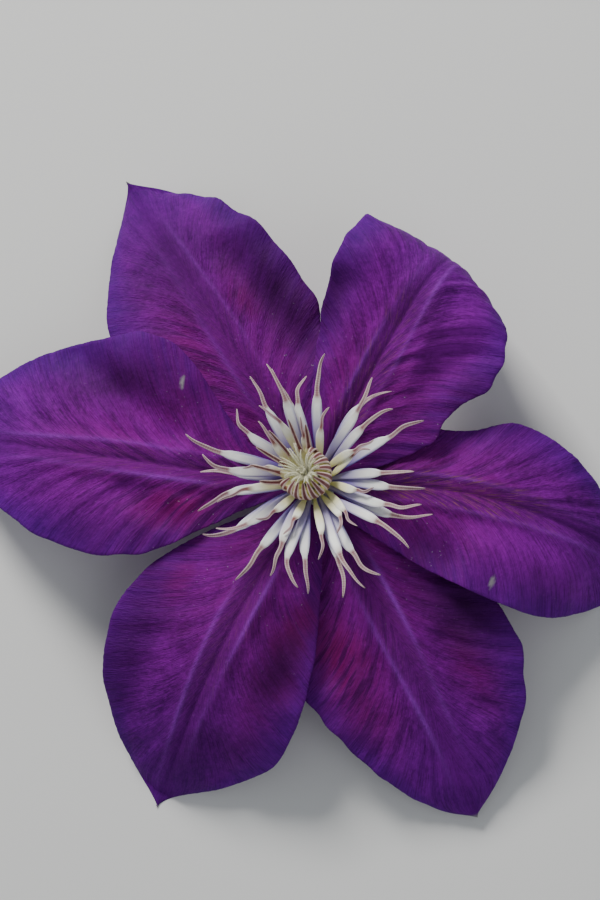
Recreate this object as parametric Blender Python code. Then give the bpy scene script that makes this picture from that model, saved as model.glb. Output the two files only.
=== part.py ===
"""Clematis flower lying face up: six tepals round a crowded boss of stamens.

The flower is picked with a short piece of its stalk.  It rests on the drooping
tips of three tepals, which end in small flats on the surface at z = 0.  Every
tepal, stamen and style follows a rule, with its sizes named below.  All
lengths are in metres, angles in degrees, and +Z points up out of the flower.
Bearings run anticlockwise from +X, seen from above.
"""
import math
import random
from typing import NamedTuple

import bmesh
import bpy
from mathutils import Vector

MM = 0.001
SEED = 7

# The flower's own axis, placed so that the whole flower is centred on the origin.
AXIS_X = 6.0 * MM
AXIS_Y = -2.0 * MM

CLEARANCE = 0.3 * MM

# Tepals stand in three layers, so that each laps over or under its neighbours.
TEPAL_THICKNESS = 0.7 * MM
TEPAL_ROOT_RADIUS = 4.0 * MM
TEPAL_ROOT_HEIGHT = 15.0 * MM
TEPAL_LAYER_STEP = 1.3 * MM
CLAW_HALF_WIDTH = 3.4 * MM
PINCH_REACH = 0.14
TEPAL_ROWS = 18
MIDRIB_STEPS_PER_ROW = 20

# Two raised ribs run beside each midrib's groove; the blade's lanes follow them.
RIB_CREST = 3.2 * MM
RIB_FOOT = 5.8 * MM
RIB_HEIGHT = 0.7 * MM
BLADE_LANES = 4
LANES = BLADE_LANES + 2

# Stalk and receptacle.
STALK_RADIUS = 1.4 * MM
STALK_END_HEIGHT = 1.0 * MM
NECK_HEIGHT = 11.0 * MM
RECEPTACLE_RADIUS = 3.7 * MM
RECEPTACLE_TOP = 19.0 * MM
STALK_SIDES = 24

# The stamens and the pistil stand on the receptacle's flat top.
BOSS_BASE = RECEPTACLE_TOP + CLEARANCE
OUTER_COLLAR = (2.9 * MM, 3.7 * MM, 1.4 * MM)
INNER_COLLAR = (1.8 * MM, 2.6 * MM, 2.6 * MM)
COLLAR_SIDES = 24
OUTER_STAMENS = 42
INNER_STAMENS = 18
OVARY_RADIUS = 1.45 * MM
OVARY_HEIGHT = 5.4 * MM
STYLES = 30
OPEN_BEARING = 140.0
OPEN_SPREAD = 75.0
HOOK_LEAN = 1.8 * MM
PISTIL_LEAN = 1.2 * MM
TUFT_LEAN = 1.2 * MM


class Margin(NamedTuple):
    """One side of a tepal: its outline, how far it dishes down, how it waves.

    A pinch draws the margin in, so that it parts from its neighbour in a notch.
    """

    half_width: float
    widest_at: float
    base_power: float
    tip_power: float
    dish: float
    wave: float = 0.0
    waves: float = 1.0
    wave_start: float = 0.0
    pinch: float = 0.0
    pinch_at: float = 0.0


class Fold(NamedTuple):
    """A soft ridge, or with a negative height a valley, between two places.

    Each place is a distance ahead of the tepal's root and to the left of its midrib.
    """

    ahead: float
    aside: float
    end_ahead: float
    end_aside: float
    reach: float
    height: float


class Tepal(NamedTuple):
    """Sizes of one tepal; left and right are as seen from its root, from above."""

    name: str
    layer: int
    bearing: float
    length: float
    sway: float
    rise: float
    droop: float
    bend_start: float
    bend_end: float
    left: Margin
    right: Margin
    folds: tuple


TEPALS = (
    Tepal("tepal_upper_left", 0, 120, 87 * MM, 1.5, 5, 33, 0.15, 1.0,
          Margin(23 * MM, 0.42, 1.1, 0.95, 2.0 * MM),
          Margin(20 * MM, 0.41, 1.6, 0.65, 1.0 * MM, 2.4 * MM, 1.5, 115),
          (Fold(18 * MM, 5 * MM, 54 * MM, 5 * MM, 3.5 * MM, 0.5 * MM),
           Fold(24 * MM, -12 * MM, 52 * MM, -9 * MM, 7 * MM, -1.8 * MM))),
    Tepal("tepal_upper_right", 2, 62, 71 * MM, -5, 13, 84, 0.51, 0.89,
          Margin(20 * MM, 0.70, 1.1, 0.32, 1.5 * MM, 1.2 * MM, 1.25, 180),
          Margin(22.5 * MM, 0.46, 0.8, 0.70, 2.5 * MM, 1.5 * MM, 1.0, 350,
                 3.5 * MM, 0.34),
          (Fold(24 * MM, -8 * MM, 46 * MM, -4 * MM, 4 * MM, 0.8 * MM),
           Fold(30 * MM, -12 * MM, 38 * MM, -17 * MM, 7 * MM, -2.0 * MM),
           Fold(22 * MM, 13 * MM, 34 * MM, 16 * MM, 6 * MM, -1.4 * MM),
           Fold(44 * MM, 14 * MM, 50 * MM, 13 * MM, 8 * MM, 1.0 * MM))),
    Tepal("tepal_right", 1, 0, 79 * MM, -17, 8, 47, 0.15, 1.0,
          Margin(16.5 * MM, 0.46, 1.2, 1.50, 2.0 * MM, 0.0, 1.0, 0,
                 2.5 * MM, 0.33),
          Margin(20 * MM, 0.61, 0.7, 0.60, 0.5 * MM, 2.0 * MM, 1.0, 288),
          (Fold(20 * MM, -12 * MM, 27 * MM, -14 * MM, 6 * MM, -1.2 * MM),
           Fold(38 * MM, -11 * MM, 56 * MM, -9 * MM, 10 * MM, 1.3 * MM))),
    Tepal("tepal_lower_right", 0, -60, 76 * MM, -5, 3, 27, 0.15, 1.0,
          Margin(22 * MM, 0.57, 1.2, 0.85, 1.5 * MM),
          Margin(23 * MM, 0.35, 1.1, 0.55, 2.0 * MM),
          (Fold(24 * MM, -11 * MM, 34 * MM, -16 * MM, 6 * MM, -1.2 * MM),
           Fold(36 * MM, -8 * MM, 48 * MM, -11 * MM, 4.5 * MM, -0.8 * MM),
           Fold(38 * MM, 9 * MM, 54 * MM, 9 * MM, 5 * MM, -1.0 * MM))),
    Tepal("tepal_lower_left", 1, -120, 80 * MM, 2, 8, 46, 0.15, 1.0,
          Margin(21 * MM, 0.64, 0.9, 1.20, 2.5 * MM),
          Margin(24 * MM, 0.51, 1.15, 0.80, 1.5 * MM),
          (Fold(26 * MM, 9 * MM, 38 * MM, 15 * MM, 7 * MM, -1.4 * MM),
           Fold(57 * MM, 7 * MM, 63 * MM, 10 * MM, 6 * MM, -0.9 * MM),
           Fold(42 * MM, -14 * MM, 58 * MM, -12 * MM, 6 * MM, -0.8 * MM))),
    Tepal("tepal_left", 2, 174, 85 * MM, -4, 9, 28, 0.15, 1.0,
          Margin(20 * MM, 0.47, 1.6, 0.85, 2.0 * MM),
          Margin(26.5 * MM, 0.42, 2.2, 0.60, 0.5 * MM, 1.8 * MM, 1.2, 300),
          (Fold(28 * MM, -7 * MM, 54 * MM, -22 * MM, 6 * MM, -2.0 * MM),
           Fold(28 * MM, -18 * MM, 38 * MM, -25 * MM, 7 * MM, 1.0 * MM),
           Fold(26 * MM, 11 * MM, 35 * MM, 7 * MM, 5 * MM, -1.0 * MM))),
)


class Stamen(NamedTuple):
    """One stamen or style: a curved strap from its root to its tip.

    A root lean and a lean shift the root, and then the tip, towards the side
    where the hooked stamens have opened.
    """

    bearing: float
    root_radius: float
    root_height: float
    root_rise: float
    reach: float
    climb: float
    aside: float
    tip_rise: float
    tip_turn: float
    half_width: float
    pull: float = 0.36
    root_lean: float = 0.0
    lean: float = 0.0


# Widths and thicknesses along a stamen, from root to tip: how far along, the
# half width as a share of the widest, and the half thickness.
STAMEN_PROFILE = (
    (0.00, 0.30, 0.34 * MM),
    (0.12, 0.50, 0.36 * MM),
    (0.30, 0.95, 0.36 * MM),
    (0.44, 1.00, 0.36 * MM),
    (0.56, 0.62, 0.34 * MM),
    (0.61, 0.36, 0.34 * MM),
    (0.64, 0.46, 0.42 * MM),
    (0.80, 0.46, 0.42 * MM),
    (0.94, 0.42, 0.38 * MM),
    (1.00, 0.28, 0.30 * MM),
)
STYLE_PROFILE = (
    (0.00, 1.00, 0.32 * MM),
    (0.35, 1.00, 0.32 * MM),
    (0.70, 1.00, 0.31 * MM),
    (1.00, 0.80, 0.30 * MM),
)


def material(name, color, roughness):
    """Return a plain Principled material."""
    made = bpy.data.materials.new(name)
    made.use_nodes = True
    shader = made.node_tree.nodes["Principled BSDF"]
    shader.inputs["Base Color"].default_value = (*color, 1.0)
    shader.inputs["Roughness"].default_value = roughness
    shader.inputs["Metallic"].default_value = 0.0
    return made


def ease(start, end, value):
    """Rise smoothly from 0 at start to 1 at end."""
    share = min(1.0, max(0.0, (value - start) / (end - start)))
    return share * share * (3.0 - 2.0 * share)


def direction(bearing, rise):
    """Unit vector along a bearing, tilted up by rise, both in radians."""
    return Vector((math.cos(rise) * math.cos(bearing),
                   math.cos(rise) * math.sin(bearing),
                   math.sin(rise)))


def add_object(name, points, faces, finish, smooth=True):
    """Make a mesh object from points round the flower's axis and its faces."""
    mesh = bpy.data.meshes.new(name)
    placed = [(x + AXIS_X, y + AXIS_Y, z) for x, y, z in points]
    mesh.from_pydata(placed, [], faces)
    mesh.materials.append(finish)
    made = bpy.data.objects.new(name, mesh)
    bpy.context.scene.collection.objects.link(made)
    if smooth:
        mesh.shade_smooth()
        mesh.set_sharp_from_angle(angle=math.radians(50.0))
    return made


def midrib(tepal):
    """Follow a tepal's midrib; return a point, bearing and pitch for each row."""
    bearing = math.radians(tepal.bearing)
    height = TEPAL_ROOT_HEIGHT + tepal.layer * TEPAL_LAYER_STEP
    point = direction(bearing, 0.0) * TEPAL_ROOT_RADIUS + Vector((0.0, 0.0, height))
    steps = TEPAL_ROWS * MIDRIB_STEPS_PER_ROW
    stations = []
    for step in range(steps + 1):
        along = step / steps
        bend = ease(tepal.bend_start, tepal.bend_end, along)
        pitch = math.radians(tepal.rise - (tepal.rise + tepal.droop) * bend)
        heading = bearing + math.radians(2.0 * tepal.sway) * along
        if step % MIDRIB_STEPS_PER_ROW == 0:
            stations.append((point.copy(), heading, pitch))
        point += direction(heading, pitch) * (tepal.length / steps)
    return stations


def half_width(margin, along):
    """Half width of a tepal on one side of its midrib."""
    if along < margin.widest_at:
        swell = math.sin(math.pi / 2 * along / margin.widest_at) ** margin.base_power
    else:
        left = (1.0 - along) / (1.0 - margin.widest_at)
        swell = max(0.0, math.sin(math.pi / 2 * left)) ** margin.tip_power
    past = ease(margin.pinch_at, margin.pinch_at + PINCH_REACH, along)
    pinch = margin.pinch * ease(margin.pinch_at - PINCH_REACH, margin.pinch_at, along)
    claw = CLAW_HALF_WIDTH * (1.0 - along) ** 2
    return margin.half_width * swell + claw - pinch * (1.0 - past)


def lane_offsets(width):
    """Distances from the midrib to its ribs' crest and foot, and to the blade."""
    foot = min(RIB_FOOT, 0.6 * width)
    blade = [foot + (width - foot) * lane / BLADE_LANES for lane in range(1, BLADE_LANES + 1)]
    return [0.0, min(RIB_CREST, 0.3 * width), foot] + blade


def margin_lift(margin, along, offset, width):
    """Height of a point above the midrib's plane: the dish and the margin's wave."""
    across = offset / width if width > 0.0 else 0.0
    turn = math.radians(360.0 * margin.waves * along + margin.wave_start)
    wave = margin.wave * math.sin(turn) * ease(0.1, 0.4, along) * across ** 1.7
    return wave - margin.dish * across ** 2 * ease(0.05, 0.5, along)


def fold_lift(folds, ahead, aside):
    """Height that a tepal's folds add at one place."""
    lift = 0.0
    for fold in folds:
        run = Vector((fold.end_ahead - fold.ahead, fold.end_aside - fold.aside))
        away = Vector((ahead - fold.ahead, aside - fold.aside))
        share = min(1.0, max(0.0, away.dot(run) / run.dot(run)))
        distance = (away - run * share).length
        lift += fold.height * (1.0 - ease(0.0, fold.reach, distance))
    return lift


def tepal_surface(tepal):
    """Return the rows of points on a tepal's upper face, from root to tip."""
    rows = []
    for row, (centre, heading, pitch) in enumerate(midrib(tepal)):
        along = row / TEPAL_ROWS
        side = Vector((-math.sin(heading), math.cos(heading), 0.0))
        up = direction(heading, pitch).cross(side)
        rib = RIB_HEIGHT * ease(0.0, 0.2, along) * ease(0.0, 0.6, 1.0 - along)
        points = []
        for margin, sign in ((tepal.right, -1.0), (tepal.left, 1.0)):
            width = half_width(margin, along)
            line = []
            for lane, offset in enumerate(lane_offsets(width)):
                lift = margin_lift(margin, along, offset, width)
                lift += fold_lift(tepal.folds, along * tepal.length, offset * sign)
                lift += rib if lane == 1 else 0.0
                line.append(centre + side * (offset * sign) + up * lift)
            points += reversed(line) if sign < 0.0 else line[1:]
        rows.append(points)
    return rows


def surface_normals(rows):
    """Upward normals of a grid of points, held steady where the tip closes."""
    normals = []
    last = len(rows) - 1
    for row in range(last + 1):
        below = rows[max(0, row - 1)]
        above = rows[min(last, row + 1)]
        line = []
        for column in range(len(rows[0])):
            left = min(len(rows[0]) - 1, column + 1)
            right = max(0, column - 1)
            ahead = above[column] - below[column]
            aside = rows[row][left] - rows[row][right]
            normal = ahead.cross(aside)
            steady = row == last or normal.length < 1e-12
            line.append(normals[-1][column] if steady else normal.normalized())
        normals.append(line)
    return normals


def build_tepal(tepal, finish):
    """A thin curved blade whose two faces are split into triangles alike."""
    rows = tepal_surface(tepal)
    normals = surface_normals(rows)
    columns = len(rows[0])
    tops = []
    bottoms = []
    for row, line in enumerate(rows):
        blade = [(line[column], normals[row][column]) for column in range(columns)]
        if row == TEPAL_ROWS:
            blade = blade[LANES:LANES + 1]
        for top, normal in blade:
            bottom = top - normal * TEPAL_THICKNESS
            raised = Vector((0.0, 0.0, max(0.0, -bottom.z)))
            tops.append(top + raised)
            bottoms.append(bottom + raised)
    tip = len(tops) - 1
    upper = []
    for row in range(TEPAL_ROWS - 1):
        for column in range(columns - 1):
            near = row * columns + column
            far = near + columns
            if column < LANES:
                upper += [(near, far, near + 1), (near + 1, far, far + 1)]
            else:
                upper += [(near, far, far + 1), (near, far + 1, near + 1)]
    final = (TEPAL_ROWS - 1) * columns
    upper += [(final + column, tip, final + column + 1) for column in range(columns - 1)]
    rim = [row * columns for row in range(TEPAL_ROWS)] + [tip]
    rim += [row * columns + columns - 1 for row in reversed(range(TEPAL_ROWS))]
    rim += list(range(columns - 2, 0, -1))
    count = len(tops)
    lower = [(c + count, b + count, a + count) for a, b, c in upper]
    walls = []
    for here, there in zip(rim, rim[1:] + rim[:1]):
        walls += [(here, there + count, there), (here, here + count, there + count)]
    return add_object(tepal.name, tops + bottoms, upper + lower + walls, finish)


def turned(name, profile, sides, finish):
    """Spin a profile of (radius, height) pairs; radius 0 closes an end."""
    points = []
    rings = []
    for radius, height in profile:
        if radius == 0.0:
            rings.append([len(points)] * sides)
            points.append((0.0, 0.0, height))
            continue
        rings.append(list(range(len(points), len(points) + sides)))
        for side in range(sides):
            angle = 2.0 * math.pi * side / sides
            points.append((radius * math.cos(angle), radius * math.sin(angle), height))
    faces = []
    for lower, upper in zip(rings, rings[1:]):
        for side in range(sides):
            after = (side + 1) % sides
            face = [lower[side], lower[after], upper[after], upper[side]]
            faces.append(list(dict.fromkeys(face)))
    return add_object(name, points, faces, finish)


def build_stalk(finish):
    """The cut stalk, its neck and the flat-topped receptacle, in one piece."""
    shoulder = RECEPTACLE_RADIUS - 0.4 * MM
    profile = (
        (0.0, STALK_END_HEIGHT),
        (STALK_RADIUS, STALK_END_HEIGHT),
        (STALK_RADIUS, NECK_HEIGHT),
        (STALK_RADIUS + 0.5 * MM, NECK_HEIGHT + 1.4 * MM),
        (shoulder, NECK_HEIGHT + 2.6 * MM),
        (RECEPTACLE_RADIUS, NECK_HEIGHT + 3.4 * MM),
        (RECEPTACLE_RADIUS, RECEPTACLE_TOP - 0.3 * MM),
        (RECEPTACLE_RADIUS - 0.3 * MM, RECEPTACLE_TOP),
        (0.0, RECEPTACLE_TOP),
    )
    return turned("stalk", profile, STALK_SIDES, finish)


def ring(name, collar, finish):
    """A low collar with a square section, round the flower's axis."""
    inner, outer, height = collar
    top = BOSS_BASE + height
    profile = (
        (inner, BOSS_BASE),
        (outer, BOSS_BASE),
        (outer, top),
        (inner, top),
        (inner, BOSS_BASE),
    )
    made = turned(name, profile, COLLAR_SIDES, finish)
    shell = bmesh.new()
    shell.from_mesh(made.data)
    bmesh.ops.remove_doubles(shell, verts=shell.verts, dist=0.00001)
    shell.to_mesh(made.data)
    shell.free()
    return made


def bezier(corners, along):
    """Point and direction on a cubic Bezier curve."""
    first, second, third, fourth = corners
    back = 1.0 - along
    point = (first * back ** 3 + second * 3.0 * back ** 2 * along
             + third * 3.0 * back * along ** 2 + fourth * along ** 3)
    heading = ((second - first) * back ** 2 + (third - second) * 2.0 * back * along
               + (fourth - third) * along ** 2)
    return point, heading.normalized()


def stamen_corners(stamen):
    """The four corners of a stamen's curve, and its level sideways direction."""
    bearing = math.radians(stamen.bearing)
    outward = direction(bearing, 0.0)
    aside = Vector((-outward.y, outward.x, 0.0))
    up = Vector((0.0, 0.0, 1.0))
    opened = direction(math.radians(OPEN_BEARING), 0.0)
    root = outward * stamen.root_radius + up * stamen.root_height
    root += opened * stamen.root_lean
    tip = root + outward * stamen.reach + aside * stamen.aside + up * stamen.climb
    tip += opened * stamen.lean
    pull = (tip - root).length * stamen.pull
    start = direction(bearing, math.radians(stamen.root_rise))
    end = direction(bearing + math.radians(stamen.tip_turn), math.radians(stamen.tip_rise))
    return (root, root + start * pull, tip - end * pull, tip), aside


def strap(name, stamen, profile, finish):
    """Loft a stamen as a strap with a lozenge section."""
    corners, aside = stamen_corners(stamen)
    points = []
    for along, width, thickness in profile:
        centre, ahead = bezier(corners, along)
        side = (aside - ahead * aside.dot(ahead)).normalized()
        up = ahead.cross(side)
        half = stamen.half_width * width
        points += [centre + side * half, centre + up * thickness,
                   centre - side * half, centre - up * thickness]
    faces = [(0, 1, 2, 3)]
    for near in range(0, len(points) - 4, 4):
        for corner in range(4):
            after = (corner + 1) % 4
            faces.append((near + corner, near + 4 + corner, near + 4 + after, near + after))
    last = len(points) - 4
    faces.append((last + 3, last + 2, last + 1, last))
    return add_object(name, points, faces, finish)


def keep_largest_shell(mesh):
    """Drop loose scraps and fill sealed hollows: only the largest shell stays."""
    shell = bmesh.new()
    shell.from_mesh(mesh)
    unseen = set(shell.verts)
    shells = []
    while unseen:
        found = {unseen.pop()}
        front = set(found)
        while front:
            front = {edge.other_vert(vert) for vert in front for edge in vert.link_edges}
            front &= unseen
            unseen -= front
            found |= front
        shells.append(found)
    largest = max(shells, key=len)
    scraps = [vert for found in shells if found is not largest for vert in found]
    bmesh.ops.delete(shell, geom=scraps, context="VERTS")
    shell.to_mesh(mesh)
    shell.free()


def fuse(base, parts):
    """Join a node's repeats to their base with one Boolean union."""
    group = bpy.data.collections.new(base.name + "_repeats")
    bpy.context.scene.collection.children.link(group)
    for part in parts:
        group.objects.link(part)
        bpy.context.scene.collection.objects.unlink(part)
    union = base.modifiers.new("fuse", "BOOLEAN")
    union.operation = "UNION"
    union.operand_type = "COLLECTION"
    union.collection = group
    union.solver = "EXACT"
    evaluated = base.evaluated_get(bpy.context.evaluated_depsgraph_get())
    fused = bpy.data.meshes.new_from_object(evaluated)
    base.modifiers.clear()
    keep_largest_shell(fused)
    base.data = fused
    for part in parts:
        bpy.data.objects.remove(part)
    bpy.data.collections.remove(group)
    return base


def outer_stamen_list(draw):
    """Spreading stamens in three tiers, the upper ones shorter and steeper."""
    stamens = []
    for number in range(OUTER_STAMENS):
        tier = number % 3
        bearing = 360.0 * number / OUTER_STAMENS + draw.uniform(-4.5, 4.5)
        spread = (2.4, 2.4, 3.8)[tier] * MM
        reach = (22.5, 20.5, 13.0)[tier] * MM + draw.uniform(-spread, spread)
        slope = (12.0, 17.0, 30.0)[tier] + draw.uniform(-1.0, 3.0)
        stamens.append(Stamen(
            bearing=bearing,
            root_radius=3.35 * MM,
            root_height=BOSS_BASE + (0.5, 0.8, 1.1)[tier] * MM,
            root_rise=slope + 12.0,
            reach=reach,
            climb=reach * math.tan(math.radians(slope)),
            aside=draw.uniform(-2.6, 2.6) * MM,
            tip_rise=slope - 22.0,
            tip_turn=draw.uniform(-50.0, 50.0),
            half_width=(1.25, 1.2, 1.0)[tier] * MM,
        ))
    return stamens


def openness(bearing):
    """How far the hooked stamens have opened at a bearing, from 0 to 1."""
    away = abs((bearing - OPEN_BEARING + 180.0) % 360.0 - 180.0)
    return 1.0 - ease(0.5 * OPEN_SPREAD, OPEN_SPREAD, away)


def inner_stamen_list(draw):
    """Hooked stamens that close over the pistil, some already leaning out."""
    stamens = []
    for number in range(INNER_STAMENS):
        bearing = 360.0 * (number + 0.5) / INNER_STAMENS + draw.uniform(-1.5, 1.5)
        freed = openness(bearing)
        stamens.append(Stamen(
            bearing=bearing,
            root_radius=2.2 * MM,
            root_height=BOSS_BASE + 2.0 * MM,
            root_rise=52.0,
            reach=(0.4 + 9.6 * freed) * MM,
            climb=(5.3 + 3.4 * freed) * MM + draw.uniform(-0.3, 0.3) * MM,
            aside=draw.uniform(-0.15, 0.15) * MM,
            tip_rise=170.0 - 130.0 * freed,
            tip_turn=0.0,
            half_width=(0.74 + 0.2 * freed) * MM,
            pull=0.85 - 0.5 * freed,
            lean=HOOK_LEAN * (1.0 - freed),
        ))
    return stamens


def style_list(draw):
    """Silky styles, in a tuft that leans towards the opened stamens."""
    styles = []
    for number in range(STYLES):
        bearing = 360.0 * number / STYLES + draw.uniform(-6.0, 6.0)
        lean = openness(bearing) ** 2
        styles.append(Stamen(
            bearing=bearing,
            root_radius=0.5 * MM,
            root_height=BOSS_BASE + OVARY_HEIGHT - 0.8 * MM,
            root_rise=82.0 - 20.0 * lean,
            reach=(3.0 + 1.8 * lean) * MM + draw.uniform(-0.4, 0.6) * MM,
            climb=(4.6 - 1.3 * lean) * MM + draw.uniform(-0.2, 0.3) * MM,
            aside=draw.uniform(-0.3, 0.3) * MM,
            tip_rise=-8.0,
            tip_turn=draw.uniform(-20.0, 20.0),
            half_width=0.32 * MM,
            root_lean=0.7 * PISTIL_LEAN,
            lean=TUFT_LEAN,
        ))
    return styles


def build_stamens(name, collar, stamens, profile, finish):
    """Root a list of stamens in their collar and fuse them to it."""
    base = ring(name, collar, finish)
    parts = [strap(f"{name}_{number}", stamen, profile, finish)
             for number, stamen in enumerate(stamens)]
    return fuse(base, parts)


def lean_over(mesh, low, high, distance):
    """Slant a mesh above a height, so that its top leans to the opened stamens."""
    opened = direction(math.radians(OPEN_BEARING), 0.0)
    for vert in mesh.vertices:
        share = max(0.0, (vert.co.z - low) / (high - low))
        vert.co += opened * (distance * share)


def build_pistil(styles, finish):
    """The ovaries' rounded cluster, with the tuft of styles fused to it."""
    top = BOSS_BASE + OVARY_HEIGHT
    profile = (
        (0.0, BOSS_BASE),
        (OVARY_RADIUS, BOSS_BASE),
        (OVARY_RADIUS, BOSS_BASE + 0.5 * OVARY_HEIGHT),
        (0.8 * OVARY_RADIUS, BOSS_BASE + 0.85 * OVARY_HEIGHT),
        (0.0, top),
    )
    base = turned("pistil", profile, 12, finish)
    lean_over(base.data, BOSS_BASE + 0.5 * OVARY_HEIGHT, top, PISTIL_LEAN)
    parts = [strap(f"style_{number}", style, STYLE_PROFILE, finish)
             for number, style in enumerate(styles)]
    return fuse(base, parts)


def main():
    """Clear the scene and build the flower."""
    for old in list(bpy.data.objects):
        bpy.data.objects.remove(old)
    purple = material("tepal_purple", (0.10, 0.015, 0.16), 0.55)
    ivory = material("stamen_ivory", (0.80, 0.80, 0.66), 0.55)
    straw = material("hooked_stamen_straw", (0.70, 0.62, 0.34), 0.55)
    cream = material("style_cream", (0.84, 0.82, 0.60), 0.50)
    green = material("stalk_green", (0.16, 0.24, 0.07), 0.60)
    draw = random.Random(SEED)
    for tepal in TEPALS:
        build_tepal(tepal, purple)
    build_stalk(green)
    build_stamens("stamens_spreading", OUTER_COLLAR, outer_stamen_list(draw),
                  STAMEN_PROFILE, ivory)
    build_stamens("stamens_hooked", INNER_COLLAR, inner_stamen_list(draw),
                  STAMEN_PROFILE, straw)
    build_pistil(style_list(draw), cream)


main()
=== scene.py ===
"""Looks of a clematis flower lying face up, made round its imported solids.

Each piece of the flower has one operator.  The tepals are fine curved blades
with ribs, feathered veins and crinkled margins.  Geometry Nodes bend a strap
along every stamen's and every style's own curve, turn the stalk, and strew the
down.  Lengths are in metres unless millimetres are named, angles in degrees,
and +Z points up out of the flower.  Bearings run anticlockwise from +X, seen
from above.
"""
import functools
import math
import random
from typing import NamedTuple

import bpy
import numpy as np
from bpy.props import FloatProperty, FloatVectorProperty, IntProperty, PointerProperty
from mathutils import Matrix, Vector


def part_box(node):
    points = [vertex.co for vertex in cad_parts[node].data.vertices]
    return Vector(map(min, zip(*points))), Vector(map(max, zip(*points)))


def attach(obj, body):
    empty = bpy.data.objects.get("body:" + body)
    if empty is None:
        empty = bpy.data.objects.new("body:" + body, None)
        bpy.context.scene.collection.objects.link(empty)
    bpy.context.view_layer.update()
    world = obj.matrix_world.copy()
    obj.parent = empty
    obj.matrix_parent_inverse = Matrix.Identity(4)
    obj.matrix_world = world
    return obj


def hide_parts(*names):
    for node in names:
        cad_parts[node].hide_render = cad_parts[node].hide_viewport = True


bl_info = {
    "name": "Clematis Flower",
    "version": (1, 0, 0),
    "blender": (4, 5, 0),
    "location": "3D View > Sidebar > Clematis",
    "description": "Builds the finish of a large clematis bloom, piece by piece",
    "category": "Object",
}

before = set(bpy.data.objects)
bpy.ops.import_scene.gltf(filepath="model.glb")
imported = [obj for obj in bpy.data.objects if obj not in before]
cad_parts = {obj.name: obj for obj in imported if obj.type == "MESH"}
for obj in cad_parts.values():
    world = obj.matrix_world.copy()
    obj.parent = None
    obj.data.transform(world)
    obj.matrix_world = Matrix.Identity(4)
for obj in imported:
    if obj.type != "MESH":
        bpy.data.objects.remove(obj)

MM = 0.001
ORIGIN = (0.0, 0.0, 0.0)
BODY = "root"

# Seeds of the draws and of the ripples; a tepal's own number is added to some.
BOSS_SEED = 7
SPREADING_SEED, HOOKED_SEED, STYLE_SEED, HEART_SEED = 11, 12, 13, 29
UNEVEN_SEED, VEIN_SEED, PUCKER_SEED, CREST_SEED, CRINKLE_SEED = 20, 40, 50, 60, 80
STALK_DOWN_SEED, STYLE_DOWN_SEED = 9, 5

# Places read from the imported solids.
STALK_LOW, STALK_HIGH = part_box("stalk")
AXIS = Vector(((STALK_LOW.x + STALK_HIGH.x) / 2, (STALK_LOW.y + STALK_HIGH.y) / 2, 0.0))
BOSS_BASE = STALK_HIGH.z + 0.3 * MM

# The tepals' form, as in the solids, and the finer form of their ribs and nerves.
SOLID_THICKNESS = 0.7 * MM
TEPAL_ROOT_RADIUS = 4.0 * MM
TEPAL_ROOT_HEIGHT = 15.0 * MM
TEPAL_LAYER_STEP = 1.3 * MM
CLAW_HALF_WIDTH = 3.4 * MM
PINCH_REACH = 0.14
MIDRIB_STEPS = 360
RIB_CREST = 3.2 * MM
RIB_FOOT = 5.8 * MM
CREST_BREADTH = 0.55 * MM
GROOVE_BREADTH = 0.45 * MM
NERVE_OFFSET = 4.5 * MM

# Veins start this far off the midrib, as a share, and arch out this strongly.
VEIN_ROOT = 0.10
VEIN_FAN = 7.0

# The stamens' and styles' places, as in the solids.  A collar's numbers are its
# inner and outer radius and its height.
OUTER_COLLAR = (2.9 * MM, 3.7 * MM, 1.4 * MM)
INNER_COLLAR = (1.8 * MM, 2.6 * MM, 2.6 * MM)
OUTER_STAMENS = 42
INNER_STAMENS = 18
OVARY_RADIUS = 1.45 * MM
OVARY_HEIGHT = 5.4 * MM
STYLES = 30
HEART_STYLES = 12
STYLE_HALF_WIDTH = 0.32 * MM
STYLE_ROOT_HEIGHT = BOSS_BASE + OVARY_HEIGHT - 0.8 * MM
OPEN_BEARING = 140.0
OPEN_SPREAD = 75.0
HOOK_LEAN = 1.8 * MM
PISTIL_LEAN = 1.2 * MM
TUFT_LEAN = 1.2 * MM

# Colours that lie over the ones in the settings.
SCUFF_GREY = (0.32, 0.31, 0.30)
NERVE_GREEN = (0.40, 0.42, 0.22)
DULL_CREAM = (0.52, 0.50, 0.44)
PALE_MAUVE = (0.66, 0.50, 0.50)
PALE_RIDGE = (0.80, 0.66, 0.52)

# The camera's aim above the floor, its sensor and how far its picture is shifted.
AIM_HEIGHT = 16.0 * MM
SENSOR_WIDTH = 36.0
SHIFT_X = -1.0 / 60.0
SHIFT_Y = 7.0 / 180.0


class Margin(NamedTuple):
    """One side of a tepal, in millimetres: its outline, how it dishes down and waves.

    A pinch draws the margin in, so that it parts from its neighbour in a notch.
    """

    half_width: float
    widest_at: float
    base_power: float
    tip_power: float
    dish: float
    wave: float = 0.0
    waves: float = 1.0
    wave_start: float = 0.0
    pinch: float = 0.0
    pinch_at: float = 0.0


class Tepal(NamedTuple):
    """One tepal, in millimetres; left and right are as seen from its root, from above.

    A place on it is a distance ahead of its root and one to the left of its midrib.
    A fold is a soft ridge between two places, with its reach and its height, or
    below zero its depth.  A stain is an oval: the place of its middle, its half
    length and half breadth, how far it is flushed magenta, and how far painted
    shade darkens it, or below zero painted light lightens it.  A scar is a pale
    scuff, placed and sized likewise.
    """

    name: str
    layer: int
    bearing: float
    length: float
    sway: float
    rise: float
    droop: float
    bend_start: float
    bend_end: float
    left: Margin
    right: Margin
    weathering: float
    # How strong the painted highlights on the ribs' crests are.
    crest_highlight_strength: float
    folds: tuple
    stains_and_painted_shade: tuple
    scars: tuple = ()


# A stain's last number is painted shade where it is above zero and painted light where it is
# below; some of the painted shade stands for shadows that overlapping tepals cast. The magenta
# flushes are the tepals' own colour.
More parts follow.
